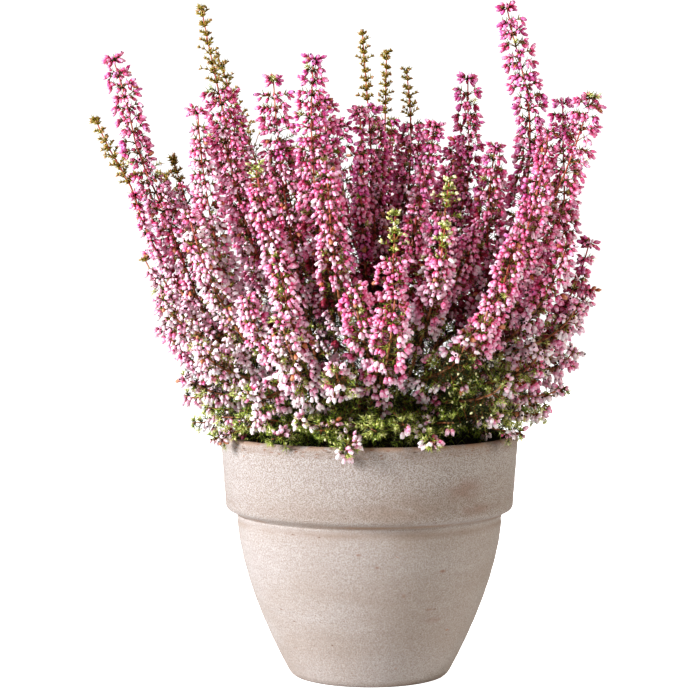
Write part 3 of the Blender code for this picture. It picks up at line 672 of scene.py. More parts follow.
def stem_at(z):
    """The middle and the radius of the main stem at a height."""
    points, radii = stem_line()
    for low, high, wide, narrow in zip(points, points[1:], radii, radii[1:]):
        if z <= high.z:
            break
    share = (z - low.z) / (high.z - low.z)
    return low.lerp(high, share), wide + (narrow - wide) * share


def bough_line(start, way, end):
    """A bough's line, which leaves along its way and turns up to its end."""
    length = (end - start).length
    upturn = end - Vector((0, 0, 1)) * length * BOUGH_BEND[1]
    return list(bezier(start, start + way * length * BOUGH_BEND[0], upturn, end, BOUGH_POINTS))


def bough_lines():
    """The line of every bough, from the main stem to the middle of its knuckle."""
    made = {}
    top = Vector(STEM_TOP)
    flat_top = top * Vector((1, 1, 0))
    for i, (name, bough) in enumerate(OUTER_BOUGHS.items()):
        middle, width = stem_at(BOUGH_LEVELS[i % len(BOUGH_LEVELS)])
        way = ring_place(bough.turn, 1, BOUGH_RISE).normalized()
        start = middle + ring_place(bough.turn, width + 0.3 + BOUGH_FOOT_RADIUS * way.z, 0)
        made[name] = bough_line(start, way, flat_top + ring_place(*bough))
    ends = [flat_top + ring_place(*bough) for bough in INNER_BOUGHS.values()]
    for name, way, end in zip(INNER_BOUGHS, fork_ways(top, ends), ends):
        made[name] = bough_line(top + way * (STEM_RADII[-1] + LIMB_GAP), way, end)
    return made


def limb(name, points, radii):
    """A tapering limb along its points, drawn as a curve with a round section and made a mesh."""
    curve = bpy.data.curves.new(name, "CURVE")
    curve.dimensions = "3D"
    curve.bevel_depth = MM
    curve.bevel_resolution = 4
    curve.use_fill_caps = True
    spline = curve.splines.new("POLY")
    spline.points.add(len(points) - 1)
    for spot, place, radius in zip(spline.points, points, radii):
        spot.co = (*(place * MM), 1)
        spot.radius = radius
    made = bpy.data.objects.new(name, curve)
    bpy.context.scene.collection.objects.link(made)
    bpy.ops.object.select_all(action="DESELECT")
    made.select_set(True)
    bpy.context.view_layer.objects.active = made
    bpy.ops.object.convert(target="MESH")
    bpy.ops.object.mode_set(mode="EDIT")
    bpy.ops.mesh.select_all(action="SELECT")
    bpy.ops.mesh.remove_doubles(threshold=1e-7)
    bpy.ops.mesh.normals_make_consistent(inside=False)
    bpy.ops.object.mode_set(mode="OBJECT")
    bpy.ops.object.shade_smooth()
    return made


def with_bark(piece, depth):
    """Raises bark ridges out of a limb's surface."""
    ridges = bpy.data.textures.new(piece.name + "_ridges", "STUCCI")
    ridges.noise_scale = RIDGE_SCALE
    rough = piece.modifiers.new("ridges", "DISPLACE")
    rough.texture = ridges
    rough.strength = depth * MM
    rough.mid_level = 0.5
    apply_modifiers(piece)


def smooth_line(points, radii, count):
    """More points along a stem's line, with the radii eased between those given."""
    places, widths = [], []
    for spot in np.linspace(0, len(points) - 1, count):
        i = min(int(spot), len(points) - 2)
        share = spot - i
        places.append(points[i].lerp(points[i + 1], share))
        widths.append(radii[i] + (radii[i + 1] - radii[i]) * share)
    return places, widths


stem = limb("main_stem", *smooth_line(*stem_line(), STEM_RINGS))
with_bark(stem, STEM_RIDGES)
boughs = bough_lines()
bough_limbs = []
for bough_name, bough_points in boughs.items():
    into_stem = (bough_points[0] - bough_points[1]).normalized() * SUNK
    bough_points = [bough_points[0] + into_stem, *bough_points]
    bough_widths = np.linspace(BOUGH_FOOT_RADIUS, KNUCKLE_RADIUS, len(bough_points))
    bough_limbs.append(limb("bough_limb_" + bough_name, bough_points, bough_widths))
bpy.ops.object.select_all(action="DESELECT")
for piece in bough_limbs:
    piece.select_set(True)
bpy.ops.object.join()
bough_limbs = bpy.context.object
bough_limbs.name = bough_limbs.data.name = "boughs"
with_bark(bough_limbs, BOUGH_RIDGES)

bark, _, _ = mottled(
    "ridged_bark",
    0.8,
    BARK_DARK,
    BARK_RED,
    BARK_PATCHES,
    last=BARK_GREY,
    spots=BARK_AGED,
    ridges=BARK_GRAIN,
    raised=0.0004,
)
for piece in (stem, bough_limbs):
    piece.data.materials.append(bark)
    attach(piece, "root")
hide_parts("stem")
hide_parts(*(name for name in cad_names if name.startswith("bough_")))


# Flower stems. From each bough's tip two or three sprays of thin wiry stems rise and turn up to the
# crown's outline, and a low green spray spreads over the rim. They grow by the part's own rule.
SHOOT_RADII = (0.95, 0.72, 0.34)  # at a stem's foot, its middle and its tip
SHOOT_SIDES = 6
SHOOT_POINTS = 41
UPTURN = (0.28, 0.55)  # how sharply a stem turns up, by its length, low in the crown and high
SIDE_STEMS = (11, 7)  # the points of the leader that its two side stems leave from
SKIRT_RISE = -0.02
SKIRT_THIN = 0.8
SKIRT_HALF = 7.0
SKIRT_FAN = 9.5
SKIN_FOOT_RADIUS = 88.0
SKIN_RADIUS = 120.0
SKIN_WIDEST_Z = 225.0
SKIN_DEPTH = 0.93
LOW_TIP_Z = (153.0, 214.0)
LOW_HALF = 10.0
LOW_FAN = 15.0
LOW_LEAN = 40
GOLDEN_SHARE = 0.618
TAN_Z = 212.0  # below this height the stems' bark is tan, above it red
# Each bark: its dark and light colours, and that of its spots.
SHOOT_BARK = ((0.33, 0.050, 0.030), (0.60, 0.130, 0.085), (0.66, 0.25, 0.13))
FOOT_BARK = ((0.37, 0.11, 0.042), (0.60, 0.26, 0.12), (0.62, 0.36, 0.20))
SHOOT_PATCHES = (500, 0.35, 0.65, 3, (1, 1, 0.2))
SHOOT_SPOTS = (130, 0.50, 0.70, 3)
SHOOT_GRAIN = (2600, 0.3, 0.7, 2, (1, 1, 0.25))
# How much of its line a stem keeps, where the crown's outline is inside the end of its column.
TRIMMED = {
    ("left_far", 2): 0.93,
    ("left_mid", 1): 0.94,
    ("left_mid", 2): 0.93,
    ("left_low", 0): 0.93,
    ("left_low", 2): 0.93,
    ("left_back", 1): 0.94,
    ("right_low", 0): 0.92,
    ("right_low", 1): 0.87,
    ("right_back", 0): 0.95,
    ("right_edge", 0): 0.93,
}
# How far a stem bows aside in X, round which height and over what height.
BOWED = {
    ("left_far", 0): (-3.5, 280, 22),
    ("left_far", 1): (4.0, 262, 18),
    ("centre", 1): (2.0, 285, 25),
    ("right_tall", 0): (-3.0, 345, 25),
    ("right_outer", 0): (5.0, 250, 24),
    ("right_upright", 0): (4.0, 268, 28),
}

# Each spray: the bough it grows from, and the tips of its stems. A tip has its place, half the width
# of its column, the bare length under its end, and how far it leans in X.
Tip = namedtuple("Tip", "x y z half bare lean", defaults=(None,))
SPRAYS = {
    "left_far": ("west", [Tip(-135, -20, 330, 8, 0), Tip(-143, -35, 298, 6, 40)]),
    "left_mid": ("west", [Tip(-105, -2, 278, 8, 16), Tip(-122, -10, 231, 8, 8)]),
    "left_low": ("west", [Tip(-111, -30, 196, 8, 0), Tip(-99, -12, 172, 7, 0)]),
    "left_tall": ("southwest", [Tip(-88, -30, 356, 10, 42, -18), Tip(-76, -52, 292, 9, 0)]),
    "left_front": ("southwest", [Tip(-88, -60, 301, 8, 0, -4), Tip(-92, -72, 248, 8, 0)]),
    "centre_left": ("south_southwest", [Tip(-50, -45, 318, 9, 0, -5), Tip(-58, -74, 272, 8, 10)]),
    "front_left": ("south_southwest", [Tip(-46, -98, 228, 8, 0), Tip(-62, -88, 206, 8, 0)]),
    "centre_tall": ("south", [Tip(-29, -60, 327, 9, 0, 8), Tip(-22, -84, 268, 9, 0)]),
    "front": ("south", [Tip(12, -85, 249, 9, 22), Tip(-8, -98, 212, 9, 0)]),
    "front_right": ("southeast", [Tip(40, -60, 266, 9, 18), Tip(37, -86, 244, 8, 16)]),
    "right_front": ("southeast", [Tip(72, -84, 236, 9, 0), Tip(58, -98, 204, 8, 0)]),
    "right_far": ("east_southeast", [Tip(115, -30, 310, 9, 0, 24), Tip(93, -26, 292, 8, 0, 6)]),
    "right_mid": ("east_southeast", [Tip(88, -56, 272, 9, 0), Tip(101, -50, 232, 9, 0)]),
    "right_low": ("east_southeast", [Tip(111, -18, 182, 8, 0), Tip(105, -28, 162, 7, 0)]),
    "right_upright": ("inner_right", [Tip(54, 30, 323, 9, 0, 3), Tip(50, 56, 288, 10, 0)]),
    "right_tall": ("east", [Tip(75, 0, 359, 9, 0, -30), Tip(66, -22, 284, 9, 0)]),
    "right_edge": ("east", [Tip(122, 18, 247, 6, 0, 12), Tip(118, 4, 208, 8, 0)]),
    "right_outer": ("northeast", [Tip(105, 22, 309, 8, 0, -4), Tip(112, 44, 250, 9, 0)]),
    "right_back": ("northeast", [Tip(75, 60, 284, 11, 0), Tip(92, 74, 248, 10, 0)]),
    "back_right": ("northeast", [Tip(96, 82, 240, 10, 12), Tip(80, 92, 206, 10, 0)]),
    "back": ("north", [Tip(14, 112, 302, 11, 24), Tip(2, 116, 262, 10, 0)]),
    "back_east": ("north", [Tip(50, 104, 282, 11, 0), Tip(64, 104, 238, 10, 0)]),
    "back_left": ("north_northwest", [Tip(-83, 70, 332, 9, 60, -34), Tip(-60, 92, 268, 11, 0)]),
    "back_west": ("north_northwest", [Tip(-34, 108, 290, 11, 0), Tip(-22, 114, 250, 10, 0)]),
    "left_back": ("northwest", [Tip(-113, 40, 270, 10, 10), Tip(-122, 30, 234, 10, 0)]),
    "left_behind": ("northwest", [Tip(-82, 56, 296, 11, 0), Tip(-98, 66, 250, 10, 0)]),
    "centre": ("inner_left", [Tip(-4, 0, 345, 9, 40, -8), Tip(-7, -43, 301, 9, 0)]),
    "centre_mid": ("inner_left", [Tip(-24, -14, 309, 9, 0, -3), Tip(-48, 14, 284, 11, 0)]),
    "centre_back": ("inner_back", [Tip(10, 50, 338, 9, 40), Tip(-18, 60, 300, 11, 0)]),
    "centre_right": ("inner_back", [Tip(20, 12, 325, 9, 26, -13), Tip(28, 50, 292, 11, 0)]),
    "right_centre": (
        "inner_right",
        [Tip(34, -30, 295, 8, 0, 18), Tip(24, -46, 252, 8, 0), Tip(53, -42, 238, 9, 0)],
    ),
}
# Each low green spray: its bough, and the bearing, reach and height of its leader's tip.
SKIRTS = {
    "skirt_west": ("west", 182, 95, 136),
    "skirt_southwest": ("southwest", 208, 92, 132),
    "skirt_south_southwest": ("south_southwest", 236, 90, 134),
    "skirt_south": ("south", 262, 91, 130),
    "skirt_southeast": ("southeast", 291, 89, 133),
    "skirt_east_southeast": ("east_southeast", 327, 93, 135),
    "skirt_east": ("east", 4, 96, 139),
    "skirt_northeast": ("northeast", 30, 92, 134),
    "skirt_north": ("north", 66, 90, 133),
    "skirt_north_northwest": ("north_northwest", 100, 91, 136),
    "skirt_northwest": ("northwest", 142, 93, 134),
}
PARENTS = {name: row[0] for name, row in (SPRAYS | SKIRTS).items()}


def tip_way(tip):
    """The direction in which a stem's tip points."""
    lean = tip.x / 4 if tip.lean is None else tip.lean
    return Vector((lean / 100, tip.y / 450, 1)).normalized()


def shoot_line(start, way, end, end_way):
    """A stem's line: it leaves along its fork's way and turns up towards its tip."""
    length = (end - start).length
    pull = UPTURN[0] + (UPTURN[1] - UPTURN[0]) * min(max((end.z - 160) / 90, 0), 1)
    first, last = start + way * length * 0.2, end - end_way * length * pull
    return list(bezier(start, first, last, end, SHOOT_POINTS))


def low_tip(number, turn):
    """The tip of the low stem that each outer spray has, on the crown's skin."""
    z = LOW_TIP_Z[0] + (LOW_TIP_Z[1] - LOW_TIP_Z[0]) * ((number * GOLDEN_SHARE) % 1)
    rise = min(max((z - POT_HEIGHT) / (SKIN_WIDEST_Z - POT_HEIGHT), 0), 1)
    out = SKIN_FOOT_RADIUS + (SKIN_RADIUS - SKIN_FOOT_RADIUS) * math.sin(rise * math.pi / 2)
    angle = math.radians(turn)
    x, y = out * math.cos(angle), out * math.sin(angle) * SKIN_DEPTH
    return Tip(x, y, z, LOW_HALF, 0, LOW_LEAN * math.cos(angle))


def bearing(tip, middle):
    """A tip's bearing in degrees, counted from half a turn before a middle one."""
    return (math.degrees(math.atan2(tip.y, tip.x)) - middle + 180) % 360


def all_tips():
    """Every spray's tips: those listed, and the low ones of the outer boughs, fanned side by side."""
    made = {name: list(listed) for name, (_, listed) in SPRAYS.items()}
    numbers = {name: number for number, name in enumerate(SPRAYS)}
    for name, bough in OUTER_BOUGHS.items():
        sprays = [spray for spray in SPRAYS if PARENTS[spray] == name]
        sprays.sort(key=lambda spray: bearing(made[spray][0], bough.turn))
        for place, spray in enumerate(sprays):
            turn = bough.turn + LOW_FAN * (place - (len(sprays) - 1) / 2)
            made[spray].append(low_tip(numbers[spray], turn))
    return made


def skirt_ends(turn, reach, z):
    """The ends of a green spray's stem and of its two side stems."""
    yield ring_place(turn, reach, z)
    for side in (-1, 1):
        yield ring_place(turn + side * SKIRT_FAN, reach * 0.93, z + 9)


def spray_lines(tips):
    """Each spray's stem lines, the leader first."""
    children = {}
    for name, (bough, _) in SPRAYS.items():
        ends = [Vector((t.x, t.y, t.z)) for t in tips[name]]
        children.setdefault(bough, []).append((name, ends, [tip_way(t) for t in tips[name]]))
    for name, (bough, turn, reach, z) in SKIRTS.items():
        ends = list(skirt_ends(turn, reach, z))
        out = [(e * Vector((1, 1, 0))).normalized() for e in ends]
        children.setdefault(bough, []).append((name, ends, out))
    made = {}
    for bough, sprays in children.items():
        knuckle = boughs[bough][-1]
        ways = fork_ways(knuckle, [ends[0] for _, ends, _ in sprays])
        for way, (name, ends, end_ways) in zip(ways, sprays):
            if name in SKIRTS:
                way = (way * Vector((1, 1, 0))).normalized() + Vector((0, 0, SKIRT_RISE))
                way.normalize()
            start = knuckle + way * (KNUCKLE_RADIUS + LIMB_GAP)
            leader = shoot_line(start, way, ends[0], end_ways[0])
            made[name] = [leader]
            for at, end, end_way in zip(SIDE_STEMS, ends[1:], end_ways[1:]):
                along = (leader[at + 1] - leader[at]).normalized()
                bend = (along + (end - leader[at]).normalized()).normalized()
                made[name].append(shoot_line(leader[at], bend, end, end_way))
    return made


def tubes(lines, widths, sides):
    """Tapering tubes along many lines, closed at both ends, as arrays of corners and triangles."""
    all_corners, all_triangles, count = [], [], 0
    turns = np.arange(sides) * math.tau / sides
    for line, radii in zip(lines, widths):
        line = np.asarray(line, float)
        along = unit(np.gradient(line, axis=0))
        side = unit(np.cross(along, (0.31, 0.94, 0.12)))
        up = np.cross(along, side)
        ring = side[:, None] * np.cos(turns)[:, None] + up[:, None] * np.sin(turns)[:, None]
        corners = line[:, None] + ring * np.asarray(radii, float)[:, None, None]
        steps = len(line)
        i, k = np.meshgrid(np.arange(sides), np.arange(steps - 1))
        j = (i + 1) % sides
        a, b, c, d = k * sides + i, k * sides + j, (k + 1) * sides + j, (k + 1) * sides + i
        fan = np.arange(1, sides - 1)
        last = (steps - 1) * sides
        triangles = [
            np.stack([a, b, c], -1).reshape(-1, 3),
            np.stack([a, c, d], -1).reshape(-1, 3),
            np.stack([fan * 0, fan + 1, fan], -1),
            np.stack([fan * 0 + last, fan + last, fan + 1 + last], -1),
        ]
        all_corners.append(corners.reshape(-1, 3))
        all_triangles.append(np.concatenate(triangles) + count)
        count += steps * sides
    return np.concatenate(all_corners), np.concatenate(all_triangles)


tips = all_tips()
lines = spray_lines(tips)
for (name, k), keep in TRIMMED.items():
    lines[name][k] = lines[name][k][: round(len(lines[name][k]) * keep)]
for (name, k), (aside, middle, spread) in BOWED.items():
    for point in lines[name][k]:
        point.x += aside * math.exp(-(((point.z - middle) / spread) ** 2))
shoots, shoot_widths = [], []
for name, group in lines.items():
    for k, line in enumerate(group):
        start = boughs[PARENTS[name]][-1] if k == 0 else line[0]
        path = [start, *line[0 if k == 0 else 1 :: 2]]
        if (path[-1] - line[-1]).length > 0.01:
            path.append(line[-1])
        shoots.append([tuple(point) for point in path])
        shares = np.linspace(0, 1, len(path))
        thin = SKIRT_THIN if name in SKIRTS else 1.0
        shoot_widths.append(np.interp(shares, (0, 0.5, 1), SHOOT_RADII) * thin)
stem_corners, stem_sides = tubes(shoots, shoot_widths, SHOOT_SIDES)
tan = stem_corners[stem_sides].mean(axis=1)[:, 2] < TAN_Z
flower_stems = joined_mesh("flower_stems", stem_corners, stem_sides, tan)
for bark_name, (dark, light, patch) in (("young_bark", SHOOT_BARK), ("stem_foot_bark", FOOT_BARK)):
    young_bark, _, _ = mottled(
        bark_name,
        0.62,
        dark,
        light,
        SHOOT_PATCHES,
        last=patch,
        spots=SHOOT_SPOTS,
        ridges=SHOOT_GRAIN,
        raised=0.0002,
    )
    flower_stems.data.materials.append(young_bark)
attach(flower_stems, "root")
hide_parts(*(name for name in cad_names if name.startswith(("spray_", "skirt_"))))


# Twigs. Short side twigs stand round every flower stem and end in a cluster of bells or in needles.
# They reach as far as the part's columns do, and keep out of the pot and of other sprays' space.
LOW_GIRTH = 1.35
HIGH_GIRTH = 0.88
NODE_STEP = (6.3, 5.2)  # between the rings of twigs at a stem's tip and lower down
TIP_STEP = 5.0
SKIRT_STEP = 3.6
FIRST_RING = (0.03, 0.10)  # the share of a leader and of a side stem below which it has no twigs
TOP_RING = 2.2  # the last ring's distance from a stem's tip
TOP_GAP = (6.0, 3.0)  # no other ring is closer to a flowering tip, or to a bare one
TIP_REACH = 2.7
TIP_WIDER = 3.4
BACK_TIP = 2.1  # how much wider the bare tip at the back left is
TOP_REACH = 5.4
RING_TURN = math.radians(137.5) * 0.37
RING_COUNTS = ((9.5, 6), (7.5, 5), (4.5, 4), (0, 2))  # over each reach, so many twigs in a ring
NOD = (0.05, 0.95)  # how far the bells of a ring hang, from straight out to well down
TWIG_LENGTHS = (0.78, 1.12)
TWIG_RISES = (0.7, 1.3)
TIP_RINGS = (0.75, 1.15)  # at a bare tip whole rings of twigs differ in length, and each twig
TIP_TWIGS = (0.6, 1.25)
TWIG_RADIUS = 0.26
TWIG_TAPER = (1.2, 1.0, 0.7)
BELL_LENGTH = 4.3
ARCH = (0.45, 0.75)  # the place of a twig's bend, by its length out and its rise along the stem
FREE_END = 2.0  # the space past its end that a twig's flowers or needles need
CUT_BACK = 0.7
CLEAR_OF_SPRAY = 3.0  # how much nearer to its own stems than to others' a twig's end has to be
SAMPLE_STEP = 1.5
NEAR_SAMPLES = 40

# Where flowering twigs are leafy instead. Below the first height of MIXED_Z most are, above the second
# few, and fewer at the crown's sides. In front, between these X and below this Z, hardly any flower.
MIXED_Z = (150.0, 200.0)
LEAFY_ANYWHERE = 0.04
LEAFY_LOW = (0.36, 0.20)  # in the middle and at the sides
MIDDLE_X = 30
MIDDLE_HALF = 48
SHADY_X = (34, 62)
SHADY_Y = -20
SHADY_Z = 178
LEAFY_SHADE = 0.94
SKIRT_BLOOM = 0.27
# On a stem's lower share and below this Z, so many of the twigs that face out of the crown are gone.
BARE_SHARE = 0.5
BARE_Z = 222
FACING_OUT = 0.6
GONE = 0.55
# How long a stem's twigs are against its column, where the crown's outline asks for it.
STEM_GIRTHS = {
    ("left_far", 0): 1.15,
    ("left_far", 1): 0.5,
    ("left_far", 2): 0.6,
    ("left_mid", 1): 0.7,
    ("left_mid", 2): 0.6,
    ("left_low", 0): 0.6,
    ("left_low", 2): 0.6,
    ("left_back", 1): 0.7,
    ("centre_left", 0): 1.15,
    ("centre", 1): 0.52,
    ("right_centre", 0): 0.85,
    ("right_tall", 0): 1.1,
    ("right_far", 0): 1.25,
    ("right_outer", 0): 1.2,
    ("right_edge", 1): 0.7,
    ("right_low", 0): 0.6,
    ("right_low", 1): 0.5,
}
# The share of a spray's twigs that has fallen, where the photo shows the sky through it.
THINNED = {"right_low": 0.30, "right_far": 0.22, "right_outer": 0.15}

Twig = namedtuple("Twig", "root bend end way along kind spray nod")


def walked(line, step):
    """Points along a line, each with its direction and its share of the length.

    The step is a length, or a function that gives it from the share."""
    lengths = np.concatenate([[0], np.cumsum([(b - a).length for a, b in zip(line, line[1:])])])
    total, at = lengths[-1], 0.0
    while at < total:
        i = min(int(np.searchsorted(lengths, at, side="right")) - 1, len(line) - 2)
        share = (at - lengths[i]) / (lengths[i + 1] - lengths[i])
        yield line[i].lerp(line[i + 1], share), (line[i + 1] - line[i]).normalized(), at / total
        at += step(at / total) if callable(step) else step


samples, owners = [], []
spray_names = list(lines)
for name, group in lines.items():
    for line in group:
        for point, _, _ in walked(line, SAMPLE_STEP):
            samples.append(point)
            owners.append(spray_names.index(name))
nearest = KDTree(len(samples))
for k, point in enumerate(samples):
    nearest.insert(point, k)
nearest.balance()


def out_of_place(point, spray):
    """Whether a point is inside the pot's wall or the compost, or well within another spray."""
    out = math.hypot(point.x, point.y)
    if out < inner_radius(POT_HEIGHT) - 1:
        if point.z < SOIL_Z + SOIL_DOME + 2:
            return True
    elif point.z < POT_HEIGHT + 1.8 and out < RIM_RADIUS + 1.5:
        return True
    _, k, gap = nearest.find(point)
    if owners[k] == spray:
        return False
    own_gaps = [d for _, n, d in nearest.find_n(point, NEAR_SAMPLES) if owners[n] == spray]
    return min(own_gaps, default=math.inf) - gap > CLEAR_OF_SPRAY


def outward(along, turn):
    """A direction square to a line, turned about it."""
    side = along.cross(Vector((0.3, 1, 0))).normalized()
    return side * math.cos(turn) + along.cross(side) * math.sin(turn)


def grow(point, along, way_out, kind, spray, long, rise, nod):
    """Adds one side twig that arches out of a stem, shortened where it would leave its place."""
    for _ in range(3):
        end = point + way_out * long + along * long * rise
        if not out_of_place(end + way_out * FREE_END, spray):
            bend = point + way_out * long * ARCH[0] + along * long * rise * ARCH[1]
            twigs.append(Twig(point, bend, end, (end - bend).normalized(), along, kind, spray, nod))
            return
        long *= CUT_BACK


def on_bare_side(point, share, way_out):
    """Whether a twig is low on its stem, on the side that faces out, where most have fallen."""
    outside = Vector((point.x, point.y, 0)).normalized()
    return share < BARE_SHARE and point.z < BARE_Z and way_out.dot(outside) > FACING_OUT


def twig_kind(kind, point, dice):
    """Makes some flowering twigs leafy, by their place, and lets some of the low green ones flower."""
    mixed = min(max((MIXED_Z[1] - point.z) / (MIXED_Z[1] - MIXED_Z[0]), 0), 1)
    leafy = LEAFY_ANYWHERE + LEAFY_LOW[abs(point.x - MIDDLE_X) > MIDDLE_HALF] * mixed
    if SHADY_X[0] < point.x < SHADY_X[1] and point.y < SHADY_Y and point.z < SHADY_Z:
        leafy = LEAFY_SHADE
    if kind == "bloom" and dice.random() < leafy:
        return "green"
    if kind == "green" and dice.random() < SKIRT_BLOOM:
        return "bloom"
    return kind


def ring_sizes(name, k, share, length, half, bloom_end, top):
    """A ring of twigs at a share of a stem: its reach and count, its kind and how far they rise."""
    if name in SKIRTS:
        return half * min(1, 0.5 + 2.5 * (1 - share)), 3, "green", 0.45
    if share > bloom_end:
        left = (1 - share) / max(1 - bloom_end, 1e-6)
        wider = BACK_TIP if name == "back_left" else 1.0
        return (TIP_REACH + TIP_WIDER * left) * wider, 4, "tip", 1.0
    if top:
        return TOP_REACH, 5, "bloom", 0.50
    girth = LOW_GIRTH + (HIGH_GIRTH - LOW_GIRTH) * share
    reach = half * girth * min(1, 0.80 + (1 - share) * length / 60)
    reach *= STEM_GIRTHS.get((name, k), 1)
    count = next(count for over, count in RING_COUNTS if reach > over)
    return reach, count, "bloom", 0.42


def ring_spots(line, length, bare, bloom_end):
    """The places of a flowering stem's rings of twigs, the last of them just under its tip."""

    def step_at(share):
        if share > bloom_end:
            return TIP_STEP
        return NODE_STEP[1] + (NODE_STEP[0] - NODE_STEP[1]) * max(0, share * 2 - 1)

    def to_top(share):
        return max((length - TOP_RING) / length - share, 1e-3) * length

    spots = [spot for spot in walked(line, step_at) if (1 - spot[2]) * length > TOP_GAP[bare > 0]]
    return [*spots, list(walked(line, to_top))[1]]


twigs = []
for number, (name, group) in enumerate(lines.items()):
    dice = random.Random(100 + number)
    for k, line in enumerate(group):
        length = sum((b - a).length for a, b in zip(line, line[1:]))
        half, bare = (SKIRT_HALF, 0) if name in SKIRTS else (tips[name][k].half, tips[name][k].bare)
        bloom_end = 1 - bare / length
        turn = dice.uniform(0, math.tau)
        if name in SKIRTS:
            spots = list(walked(line, SKIRT_STEP))
        else:
            spots = ring_spots(line, length, bare, bloom_end)
        for point, along, share in spots:
            if share < FIRST_RING[k > 0]:
                continue
            turn += RING_TURN + dice.uniform(-0.2, 0.2)
            nod = dice.uniform(*NOD)
            top = share >= spots[-1][2]
            reach, count, kind, rise = ring_sizes(name, k, share, length, half, bloom_end, top)
            if top and kind == "bloom":
                nod = NOD[0]
            ring_length = dice.uniform(*TIP_RINGS)
            for i in range(count):
                way_out = outward(along, turn + math.tau * i / count + dice.uniform(-0.35, 0.35))
                if on_bare_side(point, share, way_out) and dice.random() < GONE:
                    continue
                if name in THINNED and dice.random() < THINNED[name]:
                    continue
                this = twig_kind(kind, point, dice)
                long = reach * dice.uniform(*TWIG_LENGTHS)
                if kind == "tip":
                    long *= ring_length * dice.uniform(*TIP_TWIGS)
                long = max(long - (BELL_LENGTH * 0.66 if this == "bloom" else 1.0), 0.8)
                rise_now = rise * dice.uniform(*TWIG_RISES)
                grow(point, along, way_out, this, number, long, rise_now, nod)


def add_fill(point, along, end, spray):
    """Adds a leafy twig over the compost, if its end is clear of the compost and of the pot's wall."""
    if math.hypot(end.x, end.y) < inner_radius(POT_HEIGHT) - 1.5 and end.z > SOIL_Z + 3:
        bend = point.lerp(end, 0.5) + Vector((0, 0, 0.6))
        twigs.append(Twig(point, bend, end, (end - bend).normalized(), along, "fill", spray, 0))


# Leafy twigs on the boughs and the low sprays fill the foot of the crown over the compost.
BOUGH_FILL = 3
BOUGH_FILL_STEP = 3.4
BOUGH_FILL_RISE = 0.7
BOUGH_FILL_LENGTH = (6, 13)
SKIRT_FILL = 5
SKIRT_FILL_STEP = 4.0
SKIRT_FILL_RISE = (-0.7, 0.4)
SKIRT_FILL_LENGTH = (6, 18)
dice = random.Random(77)
for name, line in boughs.items():
    spray = spray_names.index(next(s for s, parent in PARENTS.items() if parent == name))
    for point, along, _ in walked(line, BOUGH_FILL_STEP):
        for _ in range(BOUGH_FILL):
            way_out = outward(along, dice.uniform(0, math.tau))
            way_out = (way_out + Vector((0, 0, BOUGH_FILL_RISE))).normalized()
            add_fill(point, along, point + way_out * dice.uniform(*BOUGH_FILL_LENGTH), spray)
for name in SKIRTS:
    spray = spray_names.index(name)
    for line in lines[name]:
        for point, along, _ in walked(line, SKIRT_FILL_STEP):
            if math.hypot(point.x, point.y) > RIM_RADIUS - 6:
                break
            for _ in range(SKIRT_FILL):
                way_out = outward(along, dice.uniform(0, math.tau))
                way_out = (way_out + Vector((0, 0, dice.uniform(*SKIRT_FILL_RISE)))).normalized()
                add_fill(point, along, point + way_out * dice.uniform(*SKIRT_FILL_LENGTH), spray)

# How much sky each twig's end sees: bells go where they show, and the inside of the crown is needles.
# The columns are marked in a grid of cells, and each cell that light passes takes a share of it.
GRID_LOW = np.array([-170.0, -150.0, 100.0])
GRID_STEP = 4.0
GRID_SHAPE = (86, 76, 70)
SPRAY_SHADE = 0.32
POT_SHADE = 2.0
SKY_RAYS = 16
RAY_SPOTS = (7.0, 130.0, 4.5)  # where a ray of light is first and last read, and in what steps
RAY_LEAN = 1.1  # how strongly the rays keep to the side that a twig faces
thick = np.zeros(GRID_SHAPE)
around = np.stack(np.meshgrid(*[np.arange(-3, 4)] * 3, indexing="ij"), -1).reshape(-1, 3)
for name, group in lines.items():
    for k, line in enumerate(group):
        half = SKIRT_HALF * 0.7 if name in SKIRTS else tips[name][k].half
        for point, _, share in walked(line, 3.0):
            reach = half * (LOW_GIRTH + (HIGH_GIRTH - LOW_GIRTH) * share) * 0.9
            cell = np.floor((np.array(point) - GRID_LOW) / GRID_STEP).astype(int)
            close = around[np.linalg.norm(around * GRID_STEP, axis=1) <= reach] + cell
            close = close[((close >= 0) & (close < GRID_SHAPE)).all(axis=1)]
            thick[close[:, 0], close[:, 1], close[:, 2]] = SPRAY_SHADE
cells = np.stack(np.meshgrid(*[np.arange(n) for n in GRID_SHAPE], indexing="ij"), -1)
middles = GRID_LOW + (cells + 0.5) * GRID_STEP
in_pot = (np.hypot(middles[..., 0], middles[..., 1]) < RIM_RADIUS) & (middles[..., 2] < POT_HEIGHT)
thick[in_pot] = POT_SHADE


def sky_seen(places, outs, rng):
    """The share of light that reaches each place from the half of the sky that it faces."""
    seen = np.zeros(len(places))
    for _ in range(SKY_RAYS):
        ways = unit(any_ways(rng, len(places)) + outs * RAY_LEAN)
        depth = np.zeros(len(places))
        for far in np.arange(*RAY_SPOTS):
            spots = np.floor((places + ways * far - GRID_LOW) / GRID_STEP).astype(int)
            inside = ((spots >= 0) & (spots < GRID_SHAPE)).all(axis=1)
            spots = np.where(inside[:, None], spots, 0)
            depth += np.where(inside, thick[spots[:, 0], spots[:, 1], spots[:, 2]], 0)
        seen += np.exp(-depth)
    return seen / SKY_RAYS


def of_twigs(part):
    """One part of every twig, as an array of vectors."""
    return np.array([tuple(getattr(twig, part)) for twig in twigs])


